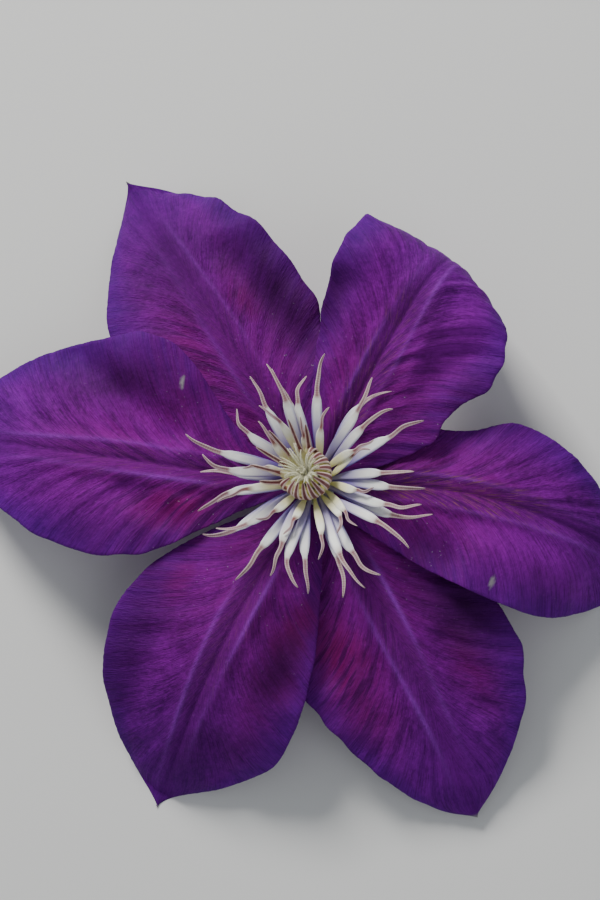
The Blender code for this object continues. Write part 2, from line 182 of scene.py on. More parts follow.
TEPALS = (
    Tepal("tepal_upper_left", 0, 120, 87, 1.5, 5, 33, 0.15, 1.0,
          Margin(23, 0.42, 1.1, 0.95, 2.0),
          Margin(20, 0.41, 1.6, 0.65, 1.0, 2.4, 1.5, 115),
          weathering=0.15, crest_highlight_strength=0.35,
          folds=((18, 5, 54, 5, 3.5, 0.5), (24, -12, 52, -9, 7, -1.8)),
          stains_and_painted_shade=((38, -15, 24, 8, 0.0, 0.95), (40, -8, 9, 4, 0.7, 0.0),
                  (34, 8, 16, 7, 0.6, 0.0), (58, 3, 20, 18, 0.0, 0.45))),
    Tepal("tepal_upper_right", 2, 62, 71, -5, 13, 84, 0.51, 0.89,
          Margin(20, 0.70, 1.1, 0.32, 1.5, 1.2, 1.25, 180),
          Margin(22.5, 0.46, 0.8, 0.70, 2.5, 1.5, 1.0, 350, 3.5, 0.34),
          weathering=0.55, crest_highlight_strength=0.75,
          folds=((24, -8, 46, -4, 4, 0.8), (30, -12, 38, -17, 7, -2.0),
                 (22, 13, 34, 16, 6, -1.4), (44, 14, 50, 13, 8, 1.0)),
          stains_and_painted_shade=((33, 16, 13, 5, 0.0, 0.65), (30, -19, 10, 5, 0.0, 0.5),
                  (37, -13, 11, 6, 0.0, -0.8), (24, -5, 14, 7, 0.4, -0.35))),
    Tepal("tepal_right", 1, 0, 79, -17, 8, 47, 0.15, 1.0,
          Margin(16.5, 0.46, 1.2, 1.50, 2.0, 0.0, 1.0, 0, 2.5, 0.33),
          Margin(20, 0.61, 0.7, 0.60, 0.5, 2.0, 1.0, 288),
          weathering=1.0, crest_highlight_strength=0.55,
          folds=((20, -12, 27, -14, 6, -1.2), (38, -11, 56, -9, 10, 1.3)),
          stains_and_painted_shade=((23, -13, 9, 4, 0.0, 0.7), (28, 1, 14, 6, 0.6, 0.0),
                  (47, -9, 16, 9, 0.0, -0.7)),
          scars=((39, -17, 0.6, 1.4),)),
    Tepal("tepal_lower_right", 0, -60, 76, -5, 3, 27, 0.15, 1.0,
          Margin(22, 0.57, 1.2, 0.85, 1.5),
          Margin(23, 0.35, 1.1, 0.55, 2.0),
          weathering=0.15, crest_highlight_strength=1.0,
          folds=((24, -11, 34, -16, 6, -1.2), (36, -8, 48, -11, 4.5, -0.8),
                 (38, 9, 54, 9, 5, -1.0)),
          # Painted shadow: the first stain darkens the lower right tepal where the right tepal
          # casts its shadow.
          stains_and_painted_shade=((33, 15, 15, 9, 0.0, 0.95), (34, -13, 18, 8, 1.0, 0.35),
                  (22, -4, 16, 7, 0.3, -0.7), (61, 1, 12, 9, 0.0, -0.35),
                  (44, 11, 12, 5, 0.5, 0.15))),
    Tepal("tepal_lower_left", 1, -120, 80, 2, 8, 46, 0.15, 1.0,
          Margin(21, 0.64, 0.9, 1.20, 2.5),
          Margin(24, 0.51, 1.15, 0.80, 1.5),
          weathering=0.25, crest_highlight_strength=0.9,
          folds=((26, 9, 38, 15, 7, -1.4), (57, 7, 63, 10, 6, -0.9),
                 (42, -14, 58, -12, 6, -0.8)),
          stains_and_painted_shade=((27, 12, 14, 5, 1.0, 0.35), (36, 13, 16, 6, 0.6, 0.75),
                  (46, -19, 24, 8, 0.0, 0.75), (62, 3, 14, 10, 0.0, 0.3),
                  (38, 0, 12, 7, 0.0, 0.25), (27, -15, 9, 5, 0.6, 0.0))),
    Tepal("tepal_left", 2, 174, 85, -4, 9, 28, 0.15, 1.0,
          Margin(20, 0.47, 1.6, 0.85, 2.0),
          Margin(26.5, 0.42, 2.2, 0.60, 0.5, 1.8, 1.2, 300),
          weathering=0.30, crest_highlight_strength=0.8,
          folds=((28, -7, 54, -22, 6, -2.0), (28, -18, 38, -25, 7, 1.0),
                 (26, 11, 35, 7, 5, -1.0)),
          stains_and_painted_shade=((42, -17, 17, 8, 0.0, 0.8), (24, 9, 14, 7, 0.9, 0.2),
                  (38, -1, 22, 10, 0.45, -0.7), (44, 16, 14, 6, 0.0, 0.25)),
          scars=((27, -18, 0.5, 1.5),)),
)


class Stamen(NamedTuple):
    """One stamen or style: a curved strap from its root to its tip.

    Its lean shifts the tip towards the side where the hooked stamens have opened.
    """

    bearing: float
    root_radius: float
    root_height: float
    root_rise: float
    reach: float
    climb: float
    aside: float
    tip_rise: float
    tip_turn: float
    half_width: float
    pull: float = 0.36
    root_lean: float = 0.0
    lean: float = 0.0
    tier: float = 0.0
    freed: float = 0.0


# ---------------------------------------------------------------- settings


def a_length(label, words, default):
    """A length in metres, for a settings group."""
    return FloatProperty(name=label, description=words, default=default, min=0.0,
                         unit="LENGTH", subtype="DISTANCE", precision=5)


def an_angle(label, words, degrees):
    """An angle, for a settings group."""
    return FloatProperty(name=label, description=words, default=math.radians(degrees),
                         subtype="ANGLE")


def a_number(label, words, default, most):
    """A plain number, for a settings group."""
    return FloatProperty(name=label, description=words, default=default, min=0.0, max=most)


def a_count(label, words, default, least, most):
    """A whole number, for a settings group."""
    return IntProperty(name=label, description=words, default=default, min=least, max=most)


def a_colour(label, words, default):
    """A linear colour, for a settings group."""
    return FloatVectorProperty(name=label, description=words, default=default,
                               subtype="COLOR", size=3, min=0.0, max=1.0)


class TepalSettings(bpy.types.PropertyGroup):
    """Sizes and colours of the six tepals."""

    rows: a_count("Rows", "Points along each tepal", 180, 30, 360)
    lanes: a_count("Lanes", "Points from the midrib to each margin", 40, 10, 60)
    thickness: a_length("Thickness", "Thickness beside the midrib", 0.42 * MM)
    edge_thickness: a_length("Edge Thickness", "Thickness at the margin", 0.2 * MM)
    rib_height: a_length("Rib Height", "Height of the ribs beside the midrib", 0.7 * MM)
    groove_depth: a_length("Groove Depth", "Depth of the midrib's groove", 0.35 * MM)
    crest_height: a_length("Crest Height", "Height of the ribs' sharp crests", 0.22 * MM)
    vein_relief: a_length("Vein Relief", "Height of the feathered veins", 0.045 * MM)
    pucker: a_length("Pucker", "Height of the soft puckers between veins", 0.18 * MM)
    crinkle: a_length("Crinkle", "Height of the crinkles at the margin", 0.4 * MM)
    deep: a_colour("Deep Purple", "Ground colour in the veins", (0.030, 0.0, 0.045))
    bright: a_colour("Bright Purple", "Colour between the veins", (0.262, 0.003, 0.375))
    bar: a_colour("Bar Violet", "Dull band between the ribs", (0.120, 0.006, 0.180))
    # Painted highlight: the pale violet lines along the ribs' crests.
    crest: a_colour("Crest Violet", "Pale lines on the ribs' crests", (0.300, 0.050, 0.520))
    flush: a_colour("Flush Magenta", "Feathers beside the ribs", (0.205, 0.0, 0.130))
    edge: a_colour("Edge Violet", "Bluer colour at the margin", (0.060, 0.001, 0.212))
    ochre: a_colour("Ochre", "Aged streaks beside the midrib", (0.260, 0.110, 0.050))
    back: a_colour("Underside", "Paler colour of the underside", (0.320, 0.090, 0.480))


class StamenSettings(bpy.types.PropertyGroup):
    """Sizes and colours of the spreading and the hooked stamens."""

    segments: a_count("Segments", "Steps along each stamen", 44, 8, 96)
    sides: a_count("Sides", "Steps round each stamen", 12, 6, 24)
    thickness: a_length("Thickness", "Half thickness of a stamen", 0.3 * MM)
    curl: a_length("Curl", "How far anthers stray sideways", 1.3 * MM)
    twist: an_angle("Twist", "Most that an anther twists", 55.0)
    white: a_colour("Filament White", "Outer filaments", (0.97, 0.98, 0.94))
    straw: a_colour("Filament Straw", "Inner filaments", (0.90, 0.86, 0.40))
    lime: a_colour("Filament Lime", "Foot of the inner filaments", (0.62, 0.60, 0.10))
    # Violet of the filaments' roots and sides: partly their own flush, partly painted shade
    # where they crowd and turn from the light.
    root: a_colour("Root Violet", "Flush at the filaments' roots", (0.13, 0.06, 0.44))
    anther: a_colour("Anther Mauve", "Sides of the anthers", (0.58, 0.42, 0.46))
    connective: a_colour("Anther Brown", "Middle of the anthers", (0.16, 0.030, 0.036))
    stain: a_colour("Joint Stain", "Stain where an anther starts", (0.20, 0.030, 0.015))


class PistilSettings(bpy.types.PropertyGroup):
    """Sizes and colours of the carpels and styles."""

    segments: a_count("Segments", "Steps along each style", 20, 6, 60)
    sides: a_count("Sides", "Steps round each style", 8, 5, 16)
    half_width: a_length("Half Width", "Half width of a style", 0.17 * MM)
    thread: a_colour("Style Cream", "Colour of the styles", (0.92, 0.92, 0.64))
    carpel: a_colour("Carpel Green", "Colour of the carpels", (0.72, 0.74, 0.22))
    down_density: a_number("Down Density", "Hairs per square metre", 6.0e7, 2.0e8)
    down_length: a_length("Down Length", "Length of the silky hairs", 0.45 * MM)


class StalkSettings(bpy.types.PropertyGroup):
    """Sizes and colours of the receptacle and the cut stalk."""

    segments: a_count("Segments", "Steps along the stalk", 96, 24, 200)
    sides: a_count("Sides", "Steps round the stalk", 48, 16, 96)
    ridges: a_count("Ridges", "Ridges along the stalk", 6, 0, 12)
    ridge_share: a_number("Ridge Share", "Height of a ridge over the radius", 0.07, 1.0)
    green: a_colour("Stalk Green", "Colour of the stalk", (0.13, 0.21, 0.05))
    flush: a_colour("Stalk Flush", "Purple flush on the stalk", (0.13, 0.05, 0.07))
    pith: a_colour("Pith", "Colour of the cut end's pith", (0.60, 0.62, 0.38))
    down: a_colour("Down", "Colour of the stalk's down", (0.62, 0.62, 0.50))
    down_density: a_number("Down Density", "Hairs per square metre", 1.2e7, 1.0e8)
    down_length: a_length("Down Length", "Length of the stalk's down", 0.6 * MM)


class StageSettings(bpy.types.PropertyGroup):
    """Floor and camera."""

    floor_size: a_length("Floor Size", "Side of the square floor", 12.0)
    floor: a_colour("Floor", "Colour of the floor", (0.76, 0.76, 0.74))
    lens: a_number("Lens", "Focal length in millimetres", 90.0, 200.0)
    distance: a_length("Distance", "From the camera to the flower", 0.48)
    tilt: an_angle("Tilt", "How far the camera leans off the plumb line", 12.0)
    lean_bearing: an_angle("Lean Bearing", "Bearing that it leans to", -58.0)


# ------------------------------------------------------------ node wiring


class Value:
    """A node's output, a number or a vector, that arithmetic can be done with."""

    def __init__(self, wire, socket):
        self.wire = wire
        self.socket = socket

    def __add__(self, other):
        return self.wire.combined("ADD", self, other)

    def __sub__(self, other):
        return self.wire.combined("SUBTRACT", self, other)

    def __rsub__(self, other):
        return self.wire.combined("SUBTRACT", other, self)

    def __mul__(self, other):
        return self.wire.combined("MULTIPLY", self, other)

    def __rtruediv__(self, other):
        return self.wire.combined("DIVIDE", other, self)

    def __truediv__(self, other):
        return self.wire.combined("DIVIDE", self, other)

    def __abs__(self):
        return self.wire.math("ABSOLUTE", self)

    __radd__ = __add__
    __rmul__ = __mul__

    def smooth(self, start, end):
        """Rise smoothly from 0 at start to 1 at end."""
        return self.wire.value("ShaderNodeMapRange",
                               {"Value": self, "From Min": start, "From Max": end},
                               interpolation_type="SMOOTHSTEP")


def is_vector(item):
    """Whether a constant or a node's output is a vector."""
    return isinstance(item, tuple) or getattr(getattr(item, "socket", None),
                                              "type", "") == "VECTOR"


class Wiring:
    """Adds nodes to one tree and joins their sockets."""

    def __init__(self, tree):
        self.tree = tree

    def feed(self, socket, value):
        """Join a socket to another node's output, or set it to a constant."""
        if isinstance(value, Value):
            self.tree.links.new(value.socket, socket)
        elif socket.type == "RGBA":
            socket.default_value = (*value, 1.0)
        else:
            socket.default_value = value

    def add(self, kind, inputs=None, **settings):
        """Add a node with its settings, and feed its named or numbered inputs."""
        node = self.tree.nodes.new(kind)
        for name, value in settings.items():
            setattr(node, name, value)
        for key, value in (inputs or {}).items():
            self.feed(node.inputs[key], value)
        return node

    def value(self, kind, inputs=None, output=0, **settings):
        """Add a node and return one of its outputs."""
        return Value(self, self.add(kind, inputs, **settings).outputs[output])

    def group(self, tree, inputs=None):
        """Place a node group in the tree and return its outputs by name."""
        kind = self.tree.bl_idname.replace("Tree", "Group")
        return self.outputs(self.add(kind, inputs, node_tree=tree))

    def outputs(self, node):
        """A node's outputs by name."""
        return {socket.name: Value(self, socket) for socket in node.outputs}

    def math(self, operation, *values):
        """A scalar sum, product or the like."""
        return self.value("ShaderNodeMath", dict(enumerate(values)), operation=operation)

    def vector(self, operation, *values):
        """A vector sum, product or the like."""
        return self.value("ShaderNodeVectorMath", dict(enumerate(values)),
                          "Value" if operation == "DOT_PRODUCT" else "Vector",
                          operation=operation)

    def combined(self, operation, first, second):
        """A sum, difference, product or quotient of two numbers or vectors."""
        if is_vector(first) and is_vector(second):
            return self.vector(operation, first, second)
        if is_vector(first) or is_vector(second):
            vector, factor = (first, second) if is_vector(first) else (second, first)
            return self.value("ShaderNodeVectorMath", {0: vector, "Scale": factor},
                              operation="SCALE")
        return self.math(operation, first, second)

    def larger(self, first, second):
        """The larger of two numbers."""
        return self.math("MAXIMUM", first, second)

    def joined(self, x, y, z):
        """A vector from three numbers."""
        return self.value("ShaderNodeCombineXYZ", {0: x, 1: y, 2: z})

    def position(self):
        """The three parts of a point's position."""
        place = self.value("GeometryNodeInputPosition")
        return [Value(self, part)
                for part in self.add("ShaderNodeSeparateXYZ", {0: place}).outputs]

    def between(self, factor, first, second):
        """A point between two others."""
        return self.value("ShaderNodeMix", {0: factor, 4: first, 5: second}, 1,
                          data_type="VECTOR")

    def tinted(self, factor, first, second):
        """A colour between two others."""
        return self.value("ShaderNodeMix", {0: factor, 6: first, 7: second}, 2,
                          data_type="RGBA")

    def layered(self, colour, *layers):
        """A colour with others laid over it in turn, each as far as its cover goes."""
        for cover, upper in layers:
            colour = self.tinted(cover, colour, upper)
        return colour

    def noise(self, place, scale, detail, roughness=0.5):
        """Soft noise, mostly between 0.3 and 0.7."""
        return self.value("ShaderNodeTexNoise", {"Vector": place, "Scale": scale,
                                                 "Detail": detail, "Roughness": roughness})

    def curve(self, value, points):
        """Look a value up in a smooth curve through a few points."""
        node = self.add("ShaderNodeFloatCurve", {"Value": value})
        line = node.mapping.curves[0]
        for spot, (x, y) in zip(line.points, (points[0], points[-1])):
            spot.location = (x, y)
        for x, y in points[1:-1]:
            line.points.new(x, y)
        for spot in line.points:
            spot.handle_type = "AUTO_CLAMPED"
        node.mapping.update()
        return Value(self, node.outputs[0])

    def named(self, label, kind="FLOAT"):
        """One of a geometry's attributes, by its name."""
        return self.value("GeometryNodeInputNamedAttribute", {"Name": label}, "Attribute",
                          data_type=kind)

    def kept(self, geometry, label, value, domain="POINT"):
        """A geometry that carries one more attribute."""
        return self.value("GeometryNodeStoreNamedAttribute",
                          {"Geometry": geometry, "Name": label, "Value": value},
                          data_type="FLOAT", domain=domain)

    def together(self, parts):
        """Several geometries as one."""
        join = self.add("GeometryNodeJoinGeometry")
        for part in parts:
            self.feed(join.inputs["Geometry"], part)
        return Value(self, join.outputs["Geometry"])

    def geometry(self, kind, geometry, **inputs):
        """Pass a geometry through one more node."""
        return self.value("GeometryNode" + kind, {"Geometry": geometry, **inputs})


class Group(Wiring):
    """A node group: what it is given, by name, and the wiring between its two ends."""

    kinds = {float: "NodeSocketFloat", int: "NodeSocketInt", tuple: "NodeSocketVector"}

    def __init__(self, name, inputs, effects=()):
        """Start a geometry group, or a shader group with the named effects.

        Each input is given by its default, or by its kind where it has none.
        """
        kind = "ShaderNodeTree" if effects else "GeometryNodeTree"
        super().__init__(bpy.data.node_groups.new(name, kind))
        for label, default in inputs.items():
            made = self.socket(label, "INPUT", self.kinds.get(type(default), default))
            if type(default) in self.kinds:
                made.default_value = default
        for label in effects:
            self.socket(label, "OUTPUT", "NodeSocketFloat")
        if not effects:
            self.socket("Geometry", "OUTPUT", "NodeSocketGeometry")
        self.given = self.outputs(self.add("NodeGroupInput"))
        self.end = self.add("NodeGroupOutput")

    def socket(self, label, way, kind):
        """Give the group one more named socket."""
        return self.tree.interface.new_socket(name=label, in_out=way, socket_type=kind)

    def done(self, results):
        """Feed the group's outputs and return its tree."""
        for label, value in results.items():
            self.feed(self.end.inputs[label], value)
        return self.tree


class Finish(Wiring):
    """A Principled material and the nodes in it."""

    def __init__(self, name):
        self.made = bpy.data.materials.new(name)
        self.made.use_nodes = True
        super().__init__(self.made.node_tree)

    def attributes(self, *names):
        """The values of some of the mesh's own attributes."""
        return [self.value("ShaderNodeAttribute", output="Fac", attribute_name=name)
                for name in names]

    def done(self, inputs, height=None, distance=0.0, strength=1.0):
        """Feed the shader, let a height raise its shading, and return the material."""
        if height is not None:
            inputs["Normal"] = self.value("ShaderNodeBump",
                                          {"Height": height, "Distance": distance,
                                           "Strength": strength})
        for name, value in inputs.items():
            self.feed(self.tree.nodes["Principled BSDF"].inputs[name], value)
        return self.made


# ----------------------------------------------------------- shared effects


@functools.cache
def streak_group():
    """Shader group: streaks that leave a midrib and arch out to the margin."""
    # How fine each layer is across the streaks, how often it breaks along them,
    # and the noise values that become 0 and 1.
    layers = {
        "Streak": (1.0, 40.0, 0.30, 0.70),
        "Grain": (2.4, 90.0, 0.30, 0.70),
        "Vein": (3.2, 9.0, 0.32, 0.68),
        "Feather": (0.32, 7.0, 0.36, 0.62),
        "Dash": (1.3, 17.0, 0.53, 0.66),
    }
    wire = Group("feathered_streaks", {"Along": 0.0, "Share": 0.0, "Fan": VEIN_FAN,
                                       "Fineness": 14.0}, layers)
    given = wire.given
    side = wire.math("SIGN", given["Share"]) * 7.0
    spread = wire.math("LOGARITHM", abs(given["Share"]) + VEIN_ROOT, math.e)
    phase = (spread - given["Along"] * given["Fan"]) * given["Fineness"]
    results = {}
    for label, (across, breaks, low, high) in layers.items():
        place = wire.joined(phase * across, given["Along"] * breaks + side, side)
        results[label] = wire.noise(place, 1.0, 3.0, 0.6).smooth(low, high)
    return wire.done(results)


@functools.cache
def mottle_group():
    """Shader group: soft blotches and patches, velvet and small pale specks."""
    # The input that sizes each layer, how far it is shifted, its detail and
    # roughness, and the noise values that become 0 and 1.
    layers = {
        "Blotch": ("Blotch Size", ORIGIN, 3.0, 0.55, 0.35, 0.65),
        "Patch": ("Blotch Size", (0.3, 0.1, 0.2), 5.0, 0.65, 0.44, 0.64),
        "Velvet": ("Velvet Size", ORIGIN, 3.0, 0.7, 0.32, 0.68),
        "Speck": ("Speck Size", ORIGIN, 1.0, 0.5, 0.74, 0.80),
    }
    wire = Group("mottling", {"Blotch Size": 12 * MM, "Velvet Size": 1.2 * MM,
                              "Speck Size": 0.6 * MM}, layers)
    place = wire.value("ShaderNodeTexCoord", output="Object")
    results = {}
    for label, (size, shift, detail, roughness, low, high) in layers.items():
        noise = wire.noise(place + shift, 1.0 / wire.given[size], detail, roughness)
        results[label] = noise.smooth(low, high)
    return wire.done(results)


# ---------------------------------------------------------------- materials


def tepal_material(sizes):
    """Velvety purple upper face, feathered with magenta between ribs and margins."""
    # Painted shade and painted light from the stains, and painted highlights on the ribs'
    # crests, lie in this colour.
    wire = Finish("tepal_upper_face")
    along, share, offset, crest, flushed, painted_shade_and_light, weathering, scar = wire.attributes(
        "along", "share", "offset", "crest", "flush", "dusk", "weathering", "scar")
    veins = wire.group(streak_group(), {"Along": along, "Share": share})
    streak, grain, feather = veins["Streak"], veins["Grain"], veins["Feather"]
    spots = wire.group(mottle_group())
    velvet = spots["Velvet"]
    beside = abs(offset)
    tone = (0.04 + 0.20 * streak + 0.14 * feather + 0.15 * grain + 0.20 * velvet
            + 0.26 * spots["Blotch"])
    rim = wire.larger(0.65 * abs(share).smooth(0.4, 1.0), 0.5 * along.smooth(0.5, 1.0))
    # Painted light: where a stain's value is below zero, the face is lightened towards the
    # bright purple.
    lift = -1.0 * painted_shade_and_light * (0.4 + 0.8 * tone)
    feathered = 0.45 + 0.45 * feather + 0.25 * spots["Patch"]
    flush = wire.larger(flushed, 0.48 * along.smooth(0.70, 0.10)) * feathered
    bar = beside.smooth(4.2 * MM, 2.2 * MM) * along.smooth(0.95, 0.5) * (0.55 - 0.4 * tone)
    # Painted shade from the stains, together with the real dark streaks between the magenta
    # feathers.
    dusk = wire.larger(painted_shade_and_light * (0.55 + 0.4 * feathered),
                       feather.smooth(0.5, 0.1) * (0.12 + 0.6 * flushed))
    nerve = veins["Vein"].smooth(0.5, 0.05) * (0.5 - 0.25 * streak)
    dash = (0.7 * beside.smooth(5.0 * MM, 2.5 * MM) * along.smooth(0.75, 0.35)
            * veins["Dash"] * weathering)
    speck = spots["Speck"] * (0.08 + 0.5 * along.smooth(0.45, 0.25))
    pale = wire.larger(wire.larger(speck, along.smooth(0.985, 1.0)), scar)
    colour = wire.layered(
        wire.tinted(tone, sizes.deep, sizes.bright), (rim, sizes.edge),
        (lift, sizes.bright), (flush, sizes.flush), (bar, sizes.bar), (dusk, sizes.deep),
        # Painted highlight on the ribs' crests, broken by the grain.
        (nerve, sizes.deep), (crest * (0.28 + 0.6 * grain), sizes.crest),
        (dash, sizes.ochre), (pale, SCUFF_GREY))
    return wire.done({"Base Color": colour, "Roughness": 0.66 - 0.12 * grain,
                      "Specular IOR Level": 0.08, "Sheen Weight": 0.02,
                      "Sheen Roughness": 0.4, "Sheen Tint": (0.55, 0.15, 1.0)},
                     0.4 * streak + 0.4 * grain + 0.3 * velvet, 0.16 * MM, 0.9)


def tepal_back_material(sizes):
    """Paler, downy underside with a greenish bar along its nerves."""
    wire = Finish("tepal_underside")
    along, share, offset = wire.attributes("along", "share", "offset")
    veins = wire.group(streak_group(), {"Along": along, "Share": share})
    tone = 0.5 * veins["Streak"] + 0.3 * wire.group(mottle_group())["Blotch"]
    bar = 0.6 * abs(offset).smooth(5.0 * MM, 1.0 * MM) * along.smooth(1.0, 0.3)
    shade = [0.45 * part for part in sizes.back]
    colour = wire.layered(wire.tinted(tone, shade, sizes.back), (bar, NERVE_GREEN))
    return wire.done({"Base Color": colour, "Roughness": 0.62, "Sheen Weight": 0.15,
                      "Sheen Roughness": 0.5}, veins["Vein"], 0.15 * MM, 0.8)


def stamen_material(name, sizes):
    """Waxy filament violet at its root and sides, partly painted shade, then a mauve,
    brown-lined anther.
    """
    wire = Finish(name)
    along, cross, tint, tier, freed, joint = wire.attributes(
        "along", "cross", "tint", "tier", "freed", "joint")
    cross = abs(cross)
    closed = (tier * (1.0 - freed)).smooth(0.86, 0.96)
    blotch = wire.group(mottle_group(), {"Blotch Size": 1.2 * MM})["Blotch"]
    creamy = wire.larger(tier * along.smooth(0.62, 0.34), 0.35 * tier)
    # Painted shade: the filaments' sides and roots darken to violet where they turn from the
    # light and crowd together, over their own violet root flush.
    sides = cross.smooth(0.30, 0.95) * along.smooth(0.75, 0.3)
    violet_flush_and_shade = wire.larger(along.smooth(0.56, 0.18), sides) * (0.95 - 0.92 * tier)
    filament = wire.layered(
        wire.tinted(creamy, sizes.white, sizes.straw), (violet_flush_and_shade, sizes.root),
        (0.75 * along.smooth(0.34, 0.05) * tier, sizes.lime), (0.12 * blotch, DULL_CREAM))
    past = along + (0.06 * tint - 0.03) - joint
    bars = wire.math("SINE", 300.0 * along)
    spine = 0.62 + 0.06 * closed
    core = (cross.smooth(spine, spine - 0.36) * (0.50 + 0.40 * closed) + 0.15 * blotch
            + 0.05 * bars)
    anther = wire.layered(sizes.anther, (tint, PALE_MAUVE), (0.55 * closed, PALE_RIDGE),
                          (core, sizes.connective))
    reached = past.smooth(-0.02, 0.02)
    stain = (past.smooth(-0.09, 0.0) * past.smooth(0.14, 0.02) * cross.smooth(1.0, 0.4)
             * (0.25 + 0.65 * tier) * (0.6 + 0.4 * tint))
    colour = wire.layered(filament, (reached, anther), (stain, sizes.stain))
    return wire.done({"Base Color": colour, "Roughness": 0.42 + 0.2 * reached,
                      "Subsurface Weight": 0.15, "Subsurface Radius": (1.0, 0.8, 0.6),
                      "Subsurface Scale": 0.5 * MM}, bars * reached, 0.05 * MM, 0.4)


def pistil_material(sizes):
    """Green carpels under cream, silky styles."""
    wire = Finish("pistil_cream")
    along, tint = wire.attributes("along", "tint")
    blotch = wire.group(mottle_group(), {"Blotch Size": 1 * MM})["Blotch"]
    thread = wire.tinted(tint, sizes.thread, (0.88, 0.86, 0.66))
    colour = wire.layered(sizes.carpel, (along.smooth(0.02, 0.35), thread),
                          (0.2 * blotch, (0.55, 0.52, 0.28)))
    return wire.done({"Base Color": colour, "Roughness": 0.42, "Sheen Weight": 0.3},
                     blotch, 0.05 * MM, 0.5)


def stalk_material(sizes):
    """Downy green stalk with a purple flush and a pale pith at its cut end."""
    wire = Finish("stalk_green")
    along, pith = wire.attributes("along", "pith")
    place = wire.value("ShaderNodeTexCoord", output="Object")
    grain = wire.noise(wire.vector("MULTIPLY", place, (1.0, 1.0, 0.12)), 2600.0, 3.0)
    patch = wire.noise(place, 260.0, 3.0).smooth(0.42, 0.66)
    colour = wire.layered(sizes.green, (patch, sizes.flush),
                          (0.7 * along.smooth(0.55, 0.9), (0.30, 0.36, 0.12)),
                          (0.5 * grain, (0.24, 0.30, 0.12)), (pith, sizes.pith))
    return wire.done({"Base Color": colour, "Roughness": 0.6}, grain, 0.1 * MM, 0.7)


def down_material(name, colour):
    """Fine pale hairs."""
    wire = Finish(name)
    paler = [min(1.0, 1.25 * part) for part in colour]
    tinted = wire.tinted(wire.attributes("tint")[0], colour, paler)
    return wire.done({"Base Color": tinted, "Roughness": 0.5, "Sheen Weight": 0.3})


def floor_material(sizes):
    """Plain pale floor."""
    wire = Finish("plain_floor")
    cloud = wire.noise(wire.value("ShaderNodeTexCoord", output="Object"), 2.0, 2.0)
    shade = [0.97 * part for part in sizes.floor]
    return wire.done({"Base Color": wire.tinted(cloud, sizes.floor, shade),
                      "Roughness": 0.85})


# ------------------------------------------------------------------ tepals


def ease(start, end, values):
    """Rise smoothly from 0 at start to 1 at end, for numbers or arrays."""
    share = np.clip((values - start) / (end - start), 0.0, 1.0)
    return share * share * (3.0 - 2.0 * share)


def directions(bearing, rise):
    """Unit vectors along bearings, tilted up by rises, all in radians."""
    return np.stack([np.cos(rise) * np.cos(bearing), np.cos(rise) * np.sin(bearing),
                     np.sin(rise) * np.ones_like(bearing)], axis=-1)


def direction(bearing, rise=0.0):
    """One unit vector along a bearing in degrees, tilted up by rise in degrees."""
    return Vector(directions(np.radians(float(bearing)), np.radians(float(rise))))


class Ripple:
    """Smooth seeded noise over two lengths: a few crossing waves."""

    def __init__(self, seed, wavelength, stretch=1.0, waves=9):
        draw = random.Random(seed)
        self.terms = []
        for _ in range(waves):
            turn = draw.uniform(0.0, 2.0 * math.pi)
            pitch = 2.0 * math.pi / (wavelength * draw.uniform(0.7, 1.6))
            self.terms.append((pitch * math.cos(turn) / stretch, pitch * math.sin(turn),
                               draw.uniform(0.0, 2.0 * math.pi)))

    def __call__(self, ahead, aside):
        total = sum(np.sin(a * ahead + b * aside + c) for a, b, c in self.terms)
        return total / math.sqrt(len(self.terms))


def midrib(tepal, rows):
    """Points, headings and pitches along a tepal's midrib."""
    along = np.arange(MIDRIB_STEPS + 1) / MIDRIB_STEPS
    bend = ease(tepal.bend_start, tepal.bend_end, along)
    pitch = np.radians(tepal.rise - (tepal.rise + tepal.droop) * bend)
    heading = np.radians(tepal.bearing + 2.0 * tepal.sway * along)
    height = TEPAL_ROOT_HEIGHT + tepal.layer * TEPAL_LAYER_STEP
    root = np.array(direction(tepal.bearing) * TEPAL_ROOT_RADIUS) + (0.0, 0.0, height)
    strides = directions(heading, pitch)[:-1] * (tepal.length * MM / MIDRIB_STEPS)
    points = root + np.vstack([np.zeros(3), np.cumsum(strides, axis=0)])
    pick = np.round(np.linspace(0, MIDRIB_STEPS, rows + 1)).astype(int)
    return points[pick], heading[pick], pitch[pick], along[pick]


def half_width(margin, along):
    """Half width of a tepal on one side of its midrib."""
    rising = np.clip(along / margin.widest_at, 0.0, 1.0)
    falling = np.clip((1.0 - along) / (1.0 - margin.widest_at), 0.0, 1.0)
    swell = np.where(along < margin.widest_at,
                     np.sin(np.pi / 2 * rising) ** margin.base_power,
                     np.sin(np.pi / 2 * falling) ** margin.tip_power)
    pinched = (ease(margin.pinch_at - PINCH_REACH, margin.pinch_at, along)
               * (1.0 - ease(margin.pinch_at, margin.pinch_at + PINCH_REACH, along)))
    return (MM * (margin.half_width * swell - margin.pinch * pinched)
            + CLAW_HALF_WIDTH * (1.0 - along) ** 2)


def crest_line(along, offset, width):
    """Where the sharp crests of the two ribs run, from 0 to 1."""
    side = np.sign(offset)
    place = np.minimum(RIB_CREST, 0.3 * width) * (1.0 - 0.25 * along ** 2)
    place *= 1.0 + 0.14 * Ripple(CREST_SEED, 0.45)(along, side)
    strength = 0.55 + 0.45 * Ripple(CREST_SEED + 1, 0.30)(along, 3.0 * side)
    fading = ease(0.08, 0.25, along) * ease(0.0, 0.4, 1.0 - along)
    line = np.exp(-((np.abs(offset) - place) / CREST_BREADTH) ** 2)
    return fading * np.clip(strength, 0.0, 1.0) * line


